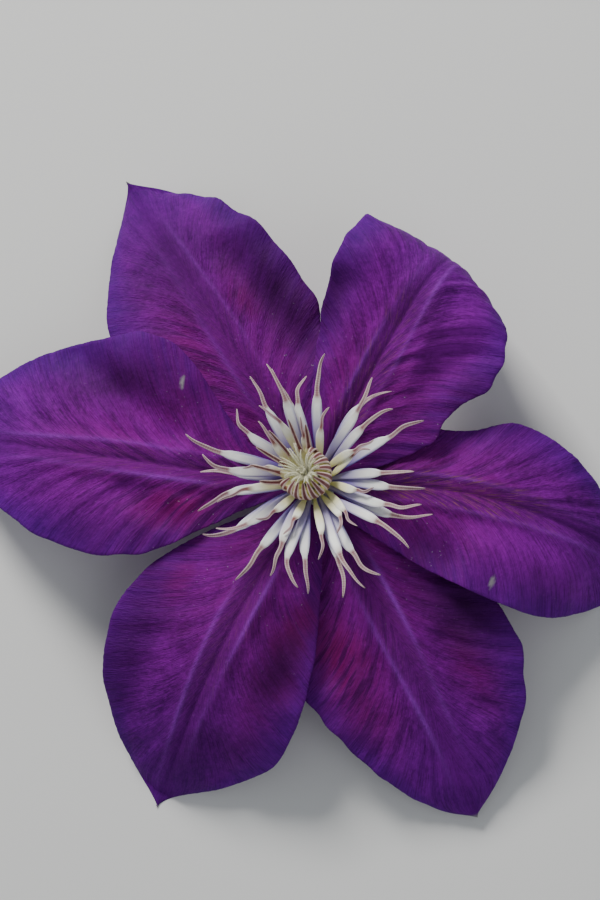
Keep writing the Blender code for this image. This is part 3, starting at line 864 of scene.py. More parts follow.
def rib_lift(sizes, along, offset, width):
    """Height of the two ribs beside the midrib, and of the groove between them."""
    reach = np.abs(offset)
    crest = np.minimum(RIB_CREST, 0.3 * width)
    foot = np.minimum(RIB_FOOT, 0.6 * width)
    rising = ease(0.0, 1.0, reach / np.maximum(crest, 1e-6))
    falling = 1.0 - ease(0.0, 1.0, (reach - crest) / np.maximum(foot - crest, 1e-6))
    rib = np.where(reach < crest, rising, falling)
    fading = ease(0.0, 0.2, along) * ease(0.0, 0.6, 1.0 - along)
    groove = np.exp(-(reach / GROOVE_BREADTH) ** 2) * ease(0.0, 0.3, 1.0 - along)
    edge = sizes.crest_height * crest_line(along, offset, width)
    return sizes.rib_height * fading * rib + edge - sizes.groove_depth * groove


def fold_lift(folds, ahead, aside):
    """Height that a tepal's folds add at every point of the blade."""
    lift = np.zeros_like(ahead)
    for fold in folds:
        start_ahead, start_aside, end_ahead, end_aside, reach, height = (
            size * MM for size in fold)
        run = (end_ahead - start_ahead, end_aside - start_aside)
        away = (ahead - start_ahead, aside - start_aside)
        share = (away[0] * run[0] + away[1] * run[1]) / (run[0] ** 2 + run[1] ** 2)
        share = np.clip(share, 0.0, 1.0)
        distance = np.hypot(away[0] - share * run[0], away[1] - share * run[1])
        lift += height * (1.0 - ease(0.0, reach, distance))
    return lift


def tepal_relief(tepal, sizes, along, share, offset, width):
    """Height of everything above the midrib's plane at every point of the blade."""
    number = TEPALS.index(tepal)
    ahead = along * tepal.length * MM
    reach = np.abs(share)
    lift = fold_lift(tepal.folds, ahead, offset)
    for margin, chosen in ((tepal.right, share < 0.0), (tepal.left, share >= 0.0)):
        turn = np.radians(360.0 * margin.waves * along + margin.wave_start)
        wave = margin.wave * np.sin(turn) * ease(0.1, 0.4, along) * reach ** 1.7
        dish = margin.dish * reach ** 2 * ease(0.05, 0.5, along)
        lift += np.where(chosen, (wave - dish) * MM, 0.0)
    lane = 20.0 * MM * (np.log(reach + VEIN_ROOT) - VEIN_FAN * along)
    side = np.sign(share) * 50.0 * MM
    fine = Ripple(VEIN_SEED + number, 2.4 * MM, stretch=10.0, waves=14)(ahead + side, lane)
    broad = Ripple(PUCKER_SEED + number, 9.0 * MM, stretch=4.0)(ahead + side, lane)
    veins = (sizes.vein_relief * fine + sizes.pucker * broad) * ease(0.03, 0.3, reach)
    fold = Ripple(CRINKLE_SEED + number, 11.0 * MM)(ahead, side)
    crinkle = sizes.crinkle * fold * reach ** 3 * ease(0.1, 0.3, along)
    closing = ease(0.0, 0.12, 1.0 - along) * ease(0.0, 0.15, along)
    return lift + rib_lift(sizes, along, offset, width) + (veins + crinkle) * closing


def marks(tepal, along, offset):
    """How far a tepal is flushed magenta, given painted shade and painted light, and scuffed
    pale at every point.
    """
    flush = np.zeros_like(along)
    dusk = np.zeros_like(along)
    scuffed = np.zeros_like(along)

    def away(ahead, aside, length, breadth):
        """Squared distance from an oval's middle, in its own half sizes."""
        return (((along * tepal.length - ahead) / length) ** 2
                + ((offset / MM - aside) / breadth) ** 2)

    # A stain's last number paints shade where it is above zero, and light where it is below.
    for *oval, flushed, painted_shading in tepal.stains_and_painted_shade:
        cover = np.exp(-1.4 * away(*oval))
        flush = np.maximum(flush, flushed * cover)
        dusk += painted_shading * cover
    for scar in tepal.scars:
        scuffed = np.maximum(scuffed, 0.8 * (1.0 - ease(0.4, 1.2, away(*scar))))
    return flush, np.clip(dusk, -1.0, 1.0), scuffed


def tepal_grid(tepal, sizes):
    """Upper-face points of a tepal, and the values that each of them carries."""
    centre, heading, pitch, along = midrib(tepal, sizes.rows)
    step = np.arange(sizes.lanes + 1) / sizes.lanes
    half = 0.6 * step + 0.4 * step ** 2
    share = np.concatenate([-half[:0:-1], half])[None, :] * np.ones((len(along), 1))
    along = along[:, None] * np.ones_like(share)
    ripple = Ripple(UNEVEN_SEED + TEPALS.index(tepal), 0.12)(along, np.sign(share))
    width = np.where(share < 0.0, half_width(tepal.right, along),
                     half_width(tepal.left, along)) * (1.0 + 0.012 * ripple)
    offset = share * width
    aside = directions(heading + np.pi / 2, np.zeros_like(pitch))
    up = np.cross(directions(heading, pitch), aside)
    lift = tepal_relief(tepal, sizes, along, share, offset, width)
    points = (centre[:, None, :] + aside[:, None, :] * offset[..., None]
              + up[:, None, :] * lift[..., None])
    flush, dusk, scar = marks(tepal, along, offset)
    return points, {"along": along, "share": share, "offset": offset,
                    # The crest values place painted highlights along the ribs' crests.
                    "crest": crest_line(along, offset, width) * tepal.crest_highlight_strength,
                    # The stains' painted shade and painted light ride here, beside the magenta
                    # flush.
                    "flush": flush, "dusk": dusk, "scar": scar,
                    "weathering": np.full_like(share, tepal.weathering)}


def grid_normals(points):
    """Upward unit normals of a grid of points, held steady at a closed tip."""
    normals = np.cross(np.gradient(points, axis=0), np.gradient(points, axis=1))
    normals[-1] = normals[-2]
    return normals / np.maximum(np.linalg.norm(normals, axis=2, keepdims=True), 1e-12)


def tepal_faces(sizes, points, carried):
    """Points of a tepal's upper face and of its underside, which never dip into the floor."""
    along, share, offset = carried["along"], carried["share"], carried["offset"]
    normals = grid_normals(points)
    middle = points - normals * SOLID_THICKNESS / 2
    half = (sizes.thickness + (sizes.edge_thickness - sizes.thickness) * share ** 2) / 2
    beside = np.abs(np.abs(offset) - NERVE_OFFSET)
    nerve = 0.35 * MM * np.exp(-(offset / (0.9 * MM)) ** 2)
    nerve += 0.22 * MM * np.exp(-(beside / (0.7 * MM)) ** 2) * ease(0.05, 0.25, along)
    nerve *= ease(0.0, 0.4, 1.0 - along)
    top = middle + normals * half[..., None]
    bottom = middle - normals * (half + nerve)[..., None]
    sunk = np.maximum(0.0, -np.minimum(bottom[..., 2], top[..., 2]))
    top[..., 2] += sunk
    bottom[..., 2] += sunk
    return top, bottom


def rim_numbers(rows, columns):
    """Point numbers round the margin, each with its neighbour inside the blade.

    They run up the right side, over the tip, down the left and along the root.
    """
    right = [(row * columns, row * columns + 1) for row in range(rows)]
    tip = [(rows * columns, (rows - 1) * columns + columns // 2)]
    left = [(row * columns + columns - 1, row * columns + columns - 2)
            for row in reversed(range(rows))]
    root = [(place, place + columns) for place in range(columns - 2, 0, -1)]
    return zip(*(right + tip + left + root))


def tepal_mesh(tepal, sizes):
    """A closed thin blade: upper face, underside and a rounded margin."""
    points, carried = tepal_grid(tepal, sizes)
    rows = len(points) - 1
    columns = points.shape[1]

    def flat(values):
        """Grid values in point order, with one point at the tip."""
        tip = values[-1, columns // 2].reshape(1, -1)
        return np.concatenate([values[:-1].reshape(rows * columns, -1), tip])

    upper, lower = [flat(side) for side in tepal_faces(sizes, points, carried)]
    count = len(upper)
    rim, inner = [list(numbers) for numbers in rim_numbers(rows, columns)]
    core = (upper + lower) / 2
    outward = core[rim] - core[inner]
    outward /= np.maximum(np.linalg.norm(outward, axis=1, keepdims=True), 1e-9)
    edge = core[rim] + outward * sizes.edge_thickness / 2
    edge[:, 2] = np.maximum(edge[:, 2], 0.0)
    vertices = np.concatenate([upper, lower, edge]) + np.array(AXIS)

    faces = [(place, place + columns, place + columns + 1, place + 1)
             for near in range(0, (rows - 1) * columns, columns)
             for place in range(near, near + columns - 1)]
    last = (rows - 1) * columns
    faces += [(place, count - 1, place + 1) for place in range(last, last + columns - 1)]
    upper_count = len(faces)
    faces += [tuple(place + count for place in reversed(face)) for face in faces]
    for number, here in enumerate(rim):
        after = (number + 1) % len(rim)
        there = rim[after]
        faces.append((here, 2 * count + number, 2 * count + after, there))
        faces.append((2 * count + number, here + count, there + count, 2 * count + after))

    mesh = bpy.data.meshes.new(tepal.name + "_blade")
    mesh.from_pydata(vertices.tolist(), [], faces)
    for name, values in carried.items():
        column = flat(values)[:, 0]
        layer = mesh.attributes.new(name, "FLOAT", "POINT")
        layer.data.foreach_set("value", np.concatenate([column, column, column[rim]]))
    backs = np.zeros(len(faces), dtype=np.int32)
    backs[upper_count:2 * upper_count] = 1
    mesh.polygons.foreach_set("material_index", backs)
    mesh.shade_smooth()
    return mesh


# -------------------------------------------------------- stamens and styles


# The spreading stamens' tiers, in millimetres: reach and its spread, slope in
# degrees, height of the root, half width, and how far the tier takes after the
# inner stamens, from 0 to 1.
OUTER_TIERS = (
    (22.5, 2.4, 12.0, 0.5, 1.15, 0.0),
    (20.5, 2.4, 17.0, 0.8, 1.1, 0.15),
    (13.0, 3.8, 30.0, 1.1, 0.9, 0.85),
)


def outer_stamen_list(draw):
    """Spreading stamens in three tiers, the upper ones shorter and steeper."""
    stamens = []
    for number in range(OUTER_STAMENS):
        reach, spread, slope, height, half, tier = OUTER_TIERS[number % len(OUTER_TIERS)]
        bearing = 360.0 * number / OUTER_STAMENS + draw.uniform(-4.5, 4.5)
        reach = (reach + draw.uniform(-spread, spread)) * MM
        slope += draw.uniform(-1.0, 3.0)
        stamens.append(Stamen(
            bearing=bearing, root_radius=3.35 * MM,
            root_height=BOSS_BASE + height * MM, root_rise=slope + 12.0,
            reach=reach, climb=reach * math.tan(math.radians(slope)),
            aside=draw.uniform(-2.6, 2.6) * MM, tip_rise=slope - 22.0,
            tip_turn=draw.uniform(-50.0, 50.0), half_width=half * MM, tier=tier))
    return stamens


def openness(bearing):
    """How far the hooked stamens have opened at a bearing, from 0 to 1."""
    away = abs((bearing - OPEN_BEARING + 180.0) % 360.0 - 180.0)
    return 1.0 - float(ease(0.5 * OPEN_SPREAD, OPEN_SPREAD, away))


def inner_stamen_list(draw):
    """Hooked stamens that close over the pistil, some already leaning out."""
    stamens = []
    for number in range(INNER_STAMENS):
        bearing = 360.0 * (number + 0.5) / INNER_STAMENS + draw.uniform(-1.5, 1.5)
        freed = openness(bearing)
        stamens.append(Stamen(
            bearing=bearing, root_radius=2.2 * MM, root_height=BOSS_BASE + 2.0 * MM,
            root_rise=52.0, reach=(0.4 + 9.6 * freed) * MM,
            climb=(5.3 + 3.4 * freed + draw.uniform(-0.3, 0.3)) * MM,
            aside=draw.uniform(-0.15, 0.15) * MM, tip_rise=170.0 - 130.0 * freed,
            tip_turn=0.0, half_width=(0.74 + 0.2 * freed) * MM, pull=0.85 - 0.5 * freed,
            lean=HOOK_LEAN * (1.0 - freed), tier=1.0, freed=freed))
    return stamens


def tufted(**sizes):
    """A style of the tuft that leans towards the opened stamens."""
    return Stamen(root_height=STYLE_ROOT_HEIGHT, half_width=STYLE_HALF_WIDTH,
                  root_lean=0.7 * PISTIL_LEAN, lean=TUFT_LEAN, **sizes)


def style_list(draw):
    """The tuft's silky styles."""
    styles = []
    for number in range(STYLES):
        bearing = 360.0 * number / STYLES + draw.uniform(-6.0, 6.0)
        lean = openness(bearing) ** 2
        styles.append(tufted(
            bearing=bearing, root_radius=0.5 * MM, root_rise=82.0 - 20.0 * lean,
            reach=(3.0 + 1.8 * lean + draw.uniform(-0.4, 0.6)) * MM,
            climb=(4.6 - 1.3 * lean + draw.uniform(-0.2, 0.3)) * MM,
            aside=draw.uniform(-0.3, 0.3) * MM, tip_rise=-8.0,
            tip_turn=draw.uniform(-20.0, 20.0)))
    return styles


def heart_style_list():
    """Short upright styles that close the middle of the tuft."""
    draw = random.Random(HEART_SEED)
    return [tufted(
        bearing=360.0 * number / HEART_STYLES + draw.uniform(-12.0, 12.0),
        root_radius=0.3 * MM, root_rise=88.0, reach=draw.uniform(0.2, 0.9) * MM,
        climb=draw.uniform(3.0, 3.9) * MM, aside=draw.uniform(-0.3, 0.3) * MM,
        tip_rise=50.0, tip_turn=draw.uniform(-60.0, 60.0)) for number in range(HEART_STYLES)]


def boss_lists():
    """All stamens and styles, drawn in the solids' own order."""
    draw = random.Random(BOSS_SEED)
    return outer_stamen_list(draw), inner_stamen_list(draw), style_list(draw)


def strap_corners(stamen):
    """The four corners of a stamen's curve, and its level sideways direction."""
    outward = direction(stamen.bearing)
    aside = Vector((-outward.y, outward.x, 0.0))
    up = Vector((0.0, 0.0, 1.0))
    opened = direction(OPEN_BEARING)
    root = outward * stamen.root_radius + up * stamen.root_height
    root += opened * stamen.root_lean + AXIS
    tip = root + outward * stamen.reach + aside * stamen.aside + up * stamen.climb
    tip += opened * stamen.lean
    pull = (tip - root).length * stamen.pull
    start = direction(stamen.bearing, stamen.root_rise)
    end = direction(stamen.bearing + stamen.tip_turn, stamen.tip_rise)
    return root, root + start * pull, tip - end * pull, tip, aside


CORNER_NAMES = ("corner_root", "corner_low", "corner_high", "corner_tip", "aside")
NUMBER_NAMES = ("half_width", "tier", "freed", "tint", "curl", "twist", "kink")


def strap_points(name, stamens, seed):
    """One point for each stamen, with its curve's corners and its draws as attributes."""
    draw = random.Random(seed)
    mesh = bpy.data.meshes.new(name)
    mesh.from_pydata([ORIGIN] * len(stamens), [], [])
    corners = [strap_corners(stamen) for stamen in stamens]
    numbers = [(stamen.half_width, stamen.tier, stamen.freed, draw.random(),
                *(draw.uniform(-1.0, 1.0) for _ in range(3))) for stamen in stamens]
    for label, values in zip(CORNER_NAMES, zip(*corners)):
        layer = mesh.attributes.new(label, "FLOAT_VECTOR", "POINT")
        layer.data.foreach_set("vector", np.ravel(values))
    for label, values in zip(NUMBER_NAMES, zip(*numbers)):
        mesh.attributes.new(label, "FLOAT", "POINT").data.foreach_set("value", values)
    return mesh


class StrapShape(NamedTuple):
    """How a strap's width and thickness run from root to tip, as shares."""

    width: tuple
    freed_width: tuple
    thickness: tuple
    anther_start: float
    downy: bool = False


OPEN_WIDTH = ((0.0, 0.30), (0.12, 0.50), (0.30, 0.88), (0.46, 1.0), (0.58, 0.84),
              (0.645, 0.50), (0.68, 0.44), (0.80, 0.40), (0.94, 0.27), (1.0, 0.10))
SPREADING_SHAPE = StrapShape(
    width=OPEN_WIDTH,
    freed_width=OPEN_WIDTH,
    thickness=((0.0, 1.0), (0.30, 0.85), (0.50, 0.80), (0.62, 0.75), (0.70, 0.9),
               (0.90, 0.8), (1.0, 0.3)),
    anther_start=0.64,
)
HOOKED_SHAPE = StrapShape(
    width=((0.0, 0.60), (0.15, 0.92), (0.35, 1.0), (0.55, 0.98), (0.80, 0.80), (1.0, 0.35)),
    freed_width=((0.0, 0.40), (0.15, 0.75), (0.33, 1.0), (0.42, 0.85), (0.50, 0.55),
                 (0.60, 0.50), (0.85, 0.42), (1.0, 0.15)),
    thickness=((0.0, 1.0), (0.35, 0.9), (0.50, 1.0), (0.90, 0.9), (1.0, 0.4)),
    anther_start=0.42,
)
TAPER = ((0.0, 1.0), (0.5, 0.9), (1.0, 0.35))
STYLE_SHAPE = StrapShape(TAPER, TAPER, TAPER, anther_start=1.0, downy=True)

# Radius of the stalk and receptacle, and of the ovaries' cluster, from the lower
# end to the upper, both as shares.
STALK_PROFILE = ((0.0, 0.34), (0.012, 0.378), (0.55, 0.378), (0.633, 0.514), (0.70, 0.892),
                 (0.745, 1.0), (0.983, 1.0), (1.0, 0.92))
OVARY_PROFILE = ((0.0, 0.94), (0.06, 1.0), (0.50, 1.0), (0.85, 0.78), (0.96, 0.36),
                 (1.0, 0.08))


def lathe_tree(name, profile):
    """Geometry Nodes group: a ridged solid of revolution between two heights."""
    wire = Group(name, {"Sides": 48, "Segments": 96, "Low": 0.0, "High": 10 * MM,
                        "Radius": 1 * MM, "Ridges": 6, "Ridge Share": 0.07,
                        "Ridge End": 0.5, "Centre": ORIGIN})
    sized = wire.given
    stock = wire.value("GeometryNodeMeshCylinder",
                       {"Vertices": sized["Sides"], "Side Segments": sized["Segments"],
                        "Fill Segments": 6, "Radius": 1.0, "Depth": 1.0})
    x, y, z = wire.position()
    along = z + 0.5
    away = wire.math("SQRT", x * x + y * y)
    ridged = 1.0 - along.smooth(sized["Ridge End"] * 0.8, sized["Ridge End"])
    turn = wire.math("ARCTAN2", y, x) * sized["Ridges"]
    ridge = wire.math("COSINE", turn) * ridged * sized["Ridge Share"]
    radius = wire.curve(along, profile) * sized["Radius"] * (ridge + 1.0)
    height = wire.value("ShaderNodeMapRange", {"Value": along, "To Min": sized["Low"],
                                               "To Max": sized["High"]})
    stock = wire.kept(stock, "along", along)
    stock = wire.kept(stock, "pith", away.smooth(0.85, 0.65) * along.smooth(0.01, 0.0))
    spot = wire.joined(x * radius, y * radius, height) + sized["Centre"]
    turned = wire.geometry("SetPosition", stock, Position=spot)
    return wire.done({"Geometry": wire.geometry("SetShadeSmooth", turned)})


@functools.cache
def down_tree():
    """Geometry Nodes group: short hairs strewn over a surface."""
    wire = Group("down", {"Mesh": "NodeSocketGeometry", "Density": 1.0,
                          "Length": 0.6 * MM, "Thickness": 0.02 * MM, "Lean": 0.6,
                          "Seed": STYLE_DOWN_SEED})
    sized = wire.given
    strewn = wire.outputs(wire.add(
        "GeometryNodeDistributePointsOnFaces",
        {label: sized[label] for label in ("Mesh", "Density", "Seed")}))
    hair = wire.value("GeometryNodeMeshCone",
                      {"Vertices": 3, "Radius Top": 0.0, "Radius Bottom": sized["Thickness"],
                       "Depth": sized["Length"]})
    stray = wire.value("FunctionNodeRandomValue",
                       {0: (-1.0, -1.0, -1.0), 1: (1.0, 1.0, 1.0), "Seed": sized["Seed"]},
                       data_type="FLOAT_VECTOR")
    turned = wire.value("FunctionNodeAlignRotationToVector",
                        {"Vector": strewn["Normal"] + stray * sized["Lean"]}, axis="Z")
    size = wire.value("FunctionNodeRandomValue", {2: 0.6, 3: 1.2, "Seed": sized["Seed"]}, 1,
                      data_type="FLOAT")
    hairs = wire.value("GeometryNodeInstanceOnPoints",
                       {"Points": strewn["Points"], "Instance": hair, "Rotation": turned,
                        "Scale": wire.joined(size, size, size)})
    tinted = wire.kept(hairs, "tint", size, "INSTANCE")
    return wire.done({"Geometry": wire.geometry("RealizeInstances", tinted)})


def ring_part(wire, sized):
    """The low collar that a whorl of stamens is rooted in."""
    circle, section = [
        wire.value("GeometryNodeCurvePrimitiveCircle",
                   {"Resolution": steps, "Radius": sized[radius]})
        for steps, radius in ((72, "Collar Radius"), (12, "Collar Width"))]
    ring = wire.value("GeometryNodeCurveToMesh", {"Curve": circle, "Profile Curve": section})
    tall = wire.joined(1.0, 1.0, sized["Collar Height"] / sized["Collar Width"])
    placed = wire.geometry("Transform", ring, Translation=sized["Centre"], Scale=tall)
    return wire.kept(placed, "tier", sized["Collar Tier"])


def ovary_part(wire, sized):
    """The ovaries' ribbed cluster under the styles."""
    ovary = wire.group(lathe_tree("ovary_cluster", OVARY_PROFILE),
                       {"Sides": 60, "Segments": 24, "Low": BOSS_BASE,
                        "High": BOSS_BASE + OVARY_HEIGHT, "Radius": OVARY_RADIUS,
                        "Ridges": 10, "Ridge Share": 0.04, "Ridge End": 1.0,
                        "Centre": sized["Centre"]})
    slant = wire.named("along").smooth(0.45, 1.05)
    lean = slant * tuple(direction(OPEN_BEARING) * PISTIL_LEAN)
    leaned = wire.geometry("SetPosition", ovary["Geometry"], Offset=lean)
    return wire.kept(leaned, "along", 0.0)


def strap_tree(name, shape, base_part):
    """Geometry Nodes: bend one strap along the curve held by each point."""
    wire = Group(name, {
        "Geometry": "NodeSocketGeometry", "Segments": 44, "Sides": 12,
        "Thickness": 0.3 * MM, "Width Scale": 1.0, "Curl": 0.0, "Twist": 0.0,
        "Centre": ORIGIN, "Collar Radius": 3 * MM, "Collar Width": 0.4 * MM,
        "Collar Height": 0.7 * MM, "Collar Tier": 0.0, "Down Density": 0.0,
        "Down Length": 0.6 * MM, "Material": "NodeSocketMaterial"})
    wire.tree.is_modifier = True
    sized = wire.given
    stock = wire.value("GeometryNodeMeshCylinder",
                       {"Vertices": sized["Sides"], "Side Segments": sized["Segments"],
                        "Radius": 1.0, "Depth": 1.0})
    x, y, z = wire.position()
    for label, value in (("along", z + 0.5), ("cross", x), ("rise", y)):
        stock = wire.kept(stock, label, value)
    placed = wire.value("GeometryNodeInstanceOnPoints",
                        {"Points": sized["Geometry"], "Instance": stock})
    straps = wire.geometry("RealizeInstances", placed)

    # Points between the corners, and between those again, give the curve's middle
    # line, and the last two before it give its heading.
    along = wire.named("along")
    *line, aside = [wire.named(label, "FLOAT_VECTOR") for label in CORNER_NAMES]
    while len(line) > 1:
        ends = line
        line = [wire.between(along, *pair) for pair in zip(ends, ends[1:])]
    ahead = wire.vector("NORMALIZE", ends[1] - ends[0])
    level = ahead * wire.vector("DOT_PRODUCT", aside, ahead)
    side = wire.vector("NORMALIZE", aside - level)
    up = wire.vector("CROSS_PRODUCT", ahead, side)

    cross = wire.named("cross")
    freed = wire.named("freed")
    share = (wire.curve(along, shape.width) * (1.0 - freed)
             + wire.curve(along, shape.freed_width) * freed)
    width = share * wire.named("half_width") * sized["Width Scale"]
    thickness = wire.curve(along, shape.thickness) * sized["Thickness"]
    anther = along.smooth(shape.anther_start - 0.04, shape.anther_start + 0.06)
    depth = thickness * (1.0 - 0.75 * anther * (1.0 - abs(cross)))
    lifted = wire.named("rise") * depth + 0.12 * width * cross * cross
    section = side * (cross * width) + up * lifted
    late = along.smooth(shape.anther_start - 0.1, 1.0)
    turned = wire.value("ShaderNodeVectorRotate",
                        {"Vector": section, "Axis": ahead,
                         "Angle": wire.named("twist") * sized["Twist"] * late},
                        rotation_type="AXIS_ANGLE")
    stray = wire.named("curl") * sized["Curl"] * wire.math("POWER", late, 1.5)
    wave = 0.2 * wire.named("kink") * sized["Curl"] * wire.math("SINE", 7.0 * late)
    position = line[0] + turned + side * (stray + wave)
    bent = wire.geometry("SetPosition", straps, Position=position)
    bent = wire.kept(bent, "joint", shape.anther_start)
    parts = [bent, base_part(wire, sized)]
    if shape.downy:
        hairs = wire.group(down_tree(), {"Mesh": bent, "Density": sized["Down Density"],
                                         "Length": sized["Down Length"]})
        parts.append(wire.kept(hairs["Geometry"], "along", 0.8))
    whole = wire.geometry("SetShadeSmooth", wire.together(parts))
    dressed = wire.geometry("SetMaterial", whole, Material=sized["Material"])
    return wire.done({"Geometry": dressed})


def stalk_tree():
    """Geometry Nodes: the turned stalk and receptacle, with their down."""
    shared = {"Sides": 48, "Segments": 96, "Ridges": 6, "Ridge Share": 0.07,
              "Centre": ORIGIN}
    wire = Group("downy_stalk", {
        "Geometry": "NodeSocketGeometry", **shared, "Down Density": 1.0,
        "Down Length": 0.6 * MM, "Material": "NodeSocketMaterial",
        "Down": "NodeSocketMaterial"})
    wire.tree.is_modifier = True
    sized = wire.given
    turned = wire.group(lathe_tree("turned_stalk", STALK_PROFILE),
                        {"Low": STALK_LOW.z, "High": STALK_HIGH.z,
                         "Radius": (STALK_HIGH.x - STALK_LOW.x) / 2,
                         **{label: sized[label] for label in shared}})["Geometry"]
    hairs = wire.group(down_tree(), {"Mesh": turned, "Density": sized["Down Density"],
                                     "Length": sized["Down Length"],
                                     "Seed": STALK_DOWN_SEED})["Geometry"]
    parts = [wire.geometry("SetMaterial", turned, Material=sized["Material"]),
             wire.geometry("SetMaterial", hairs, Material=sized["Down"])]
    return wire.done({"Geometry": wire.together(parts)})


def grown(name, mesh, tree, values):
    """Run a Geometry Nodes tree on a mesh and keep its result as a plain mesh."""
    holder = bpy.data.objects.new(name, mesh)
    bpy.context.scene.collection.objects.link(holder)
    modifier = holder.modifiers.new(tree.name, "NODES")
    modifier.node_group = tree
    for item in tree.interface.items_tree:
        if item.in_out == "INPUT" and item.name in values:
            modifier[item.identifier] = values[item.name]
    graph = bpy.context.evaluated_depsgraph_get()
    plain = bpy.data.meshes.new_from_object(holder.evaluated_get(graph), depsgraph=graph)
    holder.modifiers.clear()
    holder.data = plain
    bpy.data.meshes.remove(mesh)
    for label in (*CORNER_NAMES, "rise", "curl", "twist", "kink", "half_width", "freed"):
        if label in plain.attributes:
            plain.attributes.remove(plain.attributes[label])
    return holder


def matching(sizes):
    """A settings group's sizes, by the labels that a tree's inputs share with them."""
    return {item.name: getattr(sizes, item.identifier) for item in sizes.bl_rna.properties
            if item.type in ("FLOAT", "INT")}


def finish_piece(piece, node):
    """Let a piece ride on the flower and stand for its solid."""
    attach(piece, BODY)
    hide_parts(node)


def bend_straps(name, stamens, seed, shape, base_part, values):
    """Bend a strap along every stamen's curve and keep them all as one piece."""
    roots = strap_points(name + "_roots", stamens, seed)
    return grown(name, roots, strap_tree(name, shape, base_part), values)


def whorl_values(sizes, finish, collar, tier):
    """A strap tree's inputs for a whorl of stamens and the collar it stands on."""
    inner, outer, height = collar
    return {**matching(sizes), "Material": stamen_material(finish, sizes),
            "Centre": (AXIS.x, AXIS.y, BOSS_BASE + height / 2), "Collar Tier": tier,
            "Collar Radius": (inner + outer) / 2, "Collar Width": (outer - inner) / 2,
            "Collar Height": height / 2}


# ---------------------------------------------------------------- operators


class CLEMATIS_OT_tepals(bpy.types.Operator):
    """Make the six tepals"""

    bl_idname = "clematis.tepals"
    bl_label = "Tepals"

    def execute(self, context):
        sizes = context.scene.clematis_tepals
        finishes = (tepal_material(sizes), tepal_back_material(sizes))
        for tepal in TEPALS:
            mesh = tepal_mesh(tepal, sizes)
            for finish in finishes:
                mesh.materials.append(finish)
            piece = bpy.data.objects.new(tepal.name + "_blade", mesh)
            context.scene.collection.objects.link(piece)
            finish_piece(piece, tepal.name)
        return {"FINISHED"}


class CLEMATIS_OT_spreading_stamens(bpy.types.Operator):
    """Make the open, spreading stamens"""

    bl_idname = "clematis.spreading_stamens"
    bl_label = "Spreading Stamens"

    def execute(self, context):
        sizes = context.scene.clematis_stamens
        outer, _, _ = boss_lists()
        values = whorl_values(sizes, "stamen_white_and_mauve", OUTER_COLLAR, 0.0)
        piece = bend_straps("stamens_spreading_straps", outer, SPREADING_SEED,
                            SPREADING_SHAPE, ring_part, values)
        finish_piece(piece, "stamens_spreading")
        return {"FINISHED"}


class CLEMATIS_OT_hooked_stamens(bpy.types.Operator):
    """Make the stamens that still hook over the pistil"""

    bl_idname = "clematis.hooked_stamens"
    bl_label = "Hooked Stamens"

    def execute(self, context):
        sizes = context.scene.clematis_stamens
        _, inner, _ = boss_lists()
        values = whorl_values(sizes, "stamen_straw_and_brown", INNER_COLLAR, 1.0)
        values.update({"Curl": 0.0, "Twist": 0.0})
        piece = bend_straps("stamens_hooked_straps", inner, HOOKED_SEED, HOOKED_SHAPE,
                            ring_part, values)
        finish_piece(piece, "stamens_hooked")
        return {"FINISHED"}


class CLEMATIS_OT_pistil(bpy.types.Operator):
    """Make the carpels and their silky styles"""

    bl_idname = "clematis.pistil"
    bl_label = "Pistil"

    def execute(self, context):
        sizes = context.scene.clematis_pistil
        _, _, styles = boss_lists()
        values = {**matching(sizes), "Thickness": sizes.half_width,
                  "Width Scale": sizes.half_width / STYLE_HALF_WIDTH, "Centre": AXIS,
                  "Material": pistil_material(sizes)}
        piece = bend_straps("pistil_styles", styles + heart_style_list(), STYLE_SEED,
                            STYLE_SHAPE, ovary_part, values)
        finish_piece(piece, "pistil")
        return {"FINISHED"}


class CLEMATIS_OT_stalk(bpy.types.Operator):
    """Make the receptacle and the cut stalk, with its down"""

    bl_idname = "clematis.stalk"
    bl_label = "Stalk"

    def execute(self, context):
        sizes = context.scene.clematis_stalk
        values = {**matching(sizes), "Centre": AXIS, "Material": stalk_material(sizes),
                  "Down": down_material("stalk_down", sizes.down)}
        piece = grown("stalk_turned", bpy.data.meshes.new("stalk_start"), stalk_tree(), values)
        finish_piece(piece, "stalk")
        return {"FINISHED"}


class CLEMATIS_OT_stage(bpy.types.Operator):
    """Make the floor, the soft studio light and the camera"""

    bl_idname = "clematis.stage"
    bl_label = "Stage"

    def execute(self, context):
        sizes = context.scene.clematis_stage
        make_floor(sizes)
        make_light("key_light", (-0.45, 0.95, 0.70), 0.4, 19.0, (1.0, 0.98, 0.96))
        make_light("fill_light", (0.7, -0.6, 0.9), 1.0, 2.5, (0.92, 0.95, 1.0))
        make_surround((0.80, 0.84, 0.90), 0.38)
        make_camera(sizes)
        return {"FINISHED"}


def make_floor(sizes):
    """A plain square floor under the flower."""
    half = sizes.floor_size / 2
    mesh = bpy.data.meshes.new("floor")
    mesh.from_pydata([(-half, -half, 0.0), (half, -half, 0.0), (half, half, 0.0),
                      (-half, half, 0.0)], [], [(0, 1, 2, 3)])
    mesh.materials.append(floor_material(sizes))
    floor = bpy.data.objects.new("floor", mesh)
    bpy.context.scene.collection.objects.link(floor)


def make_light(name, place, size, power, colour):
    """A square soft light that faces the flower."""
    light = bpy.data.lights.new(name, "AREA")
    light.shape = "SQUARE"
    light.size = size
    light.energy = power
    light.color = colour
    holder = bpy.data.objects.new(name, light)
    holder.location = place
    aim = Vector((AXIS.x, AXIS.y, STALK_HIGH.z)) - Vector(place)
    holder.rotation_euler = aim.to_track_quat("-Z", "Y").to_euler()
    bpy.context.scene.collection.objects.link(holder)


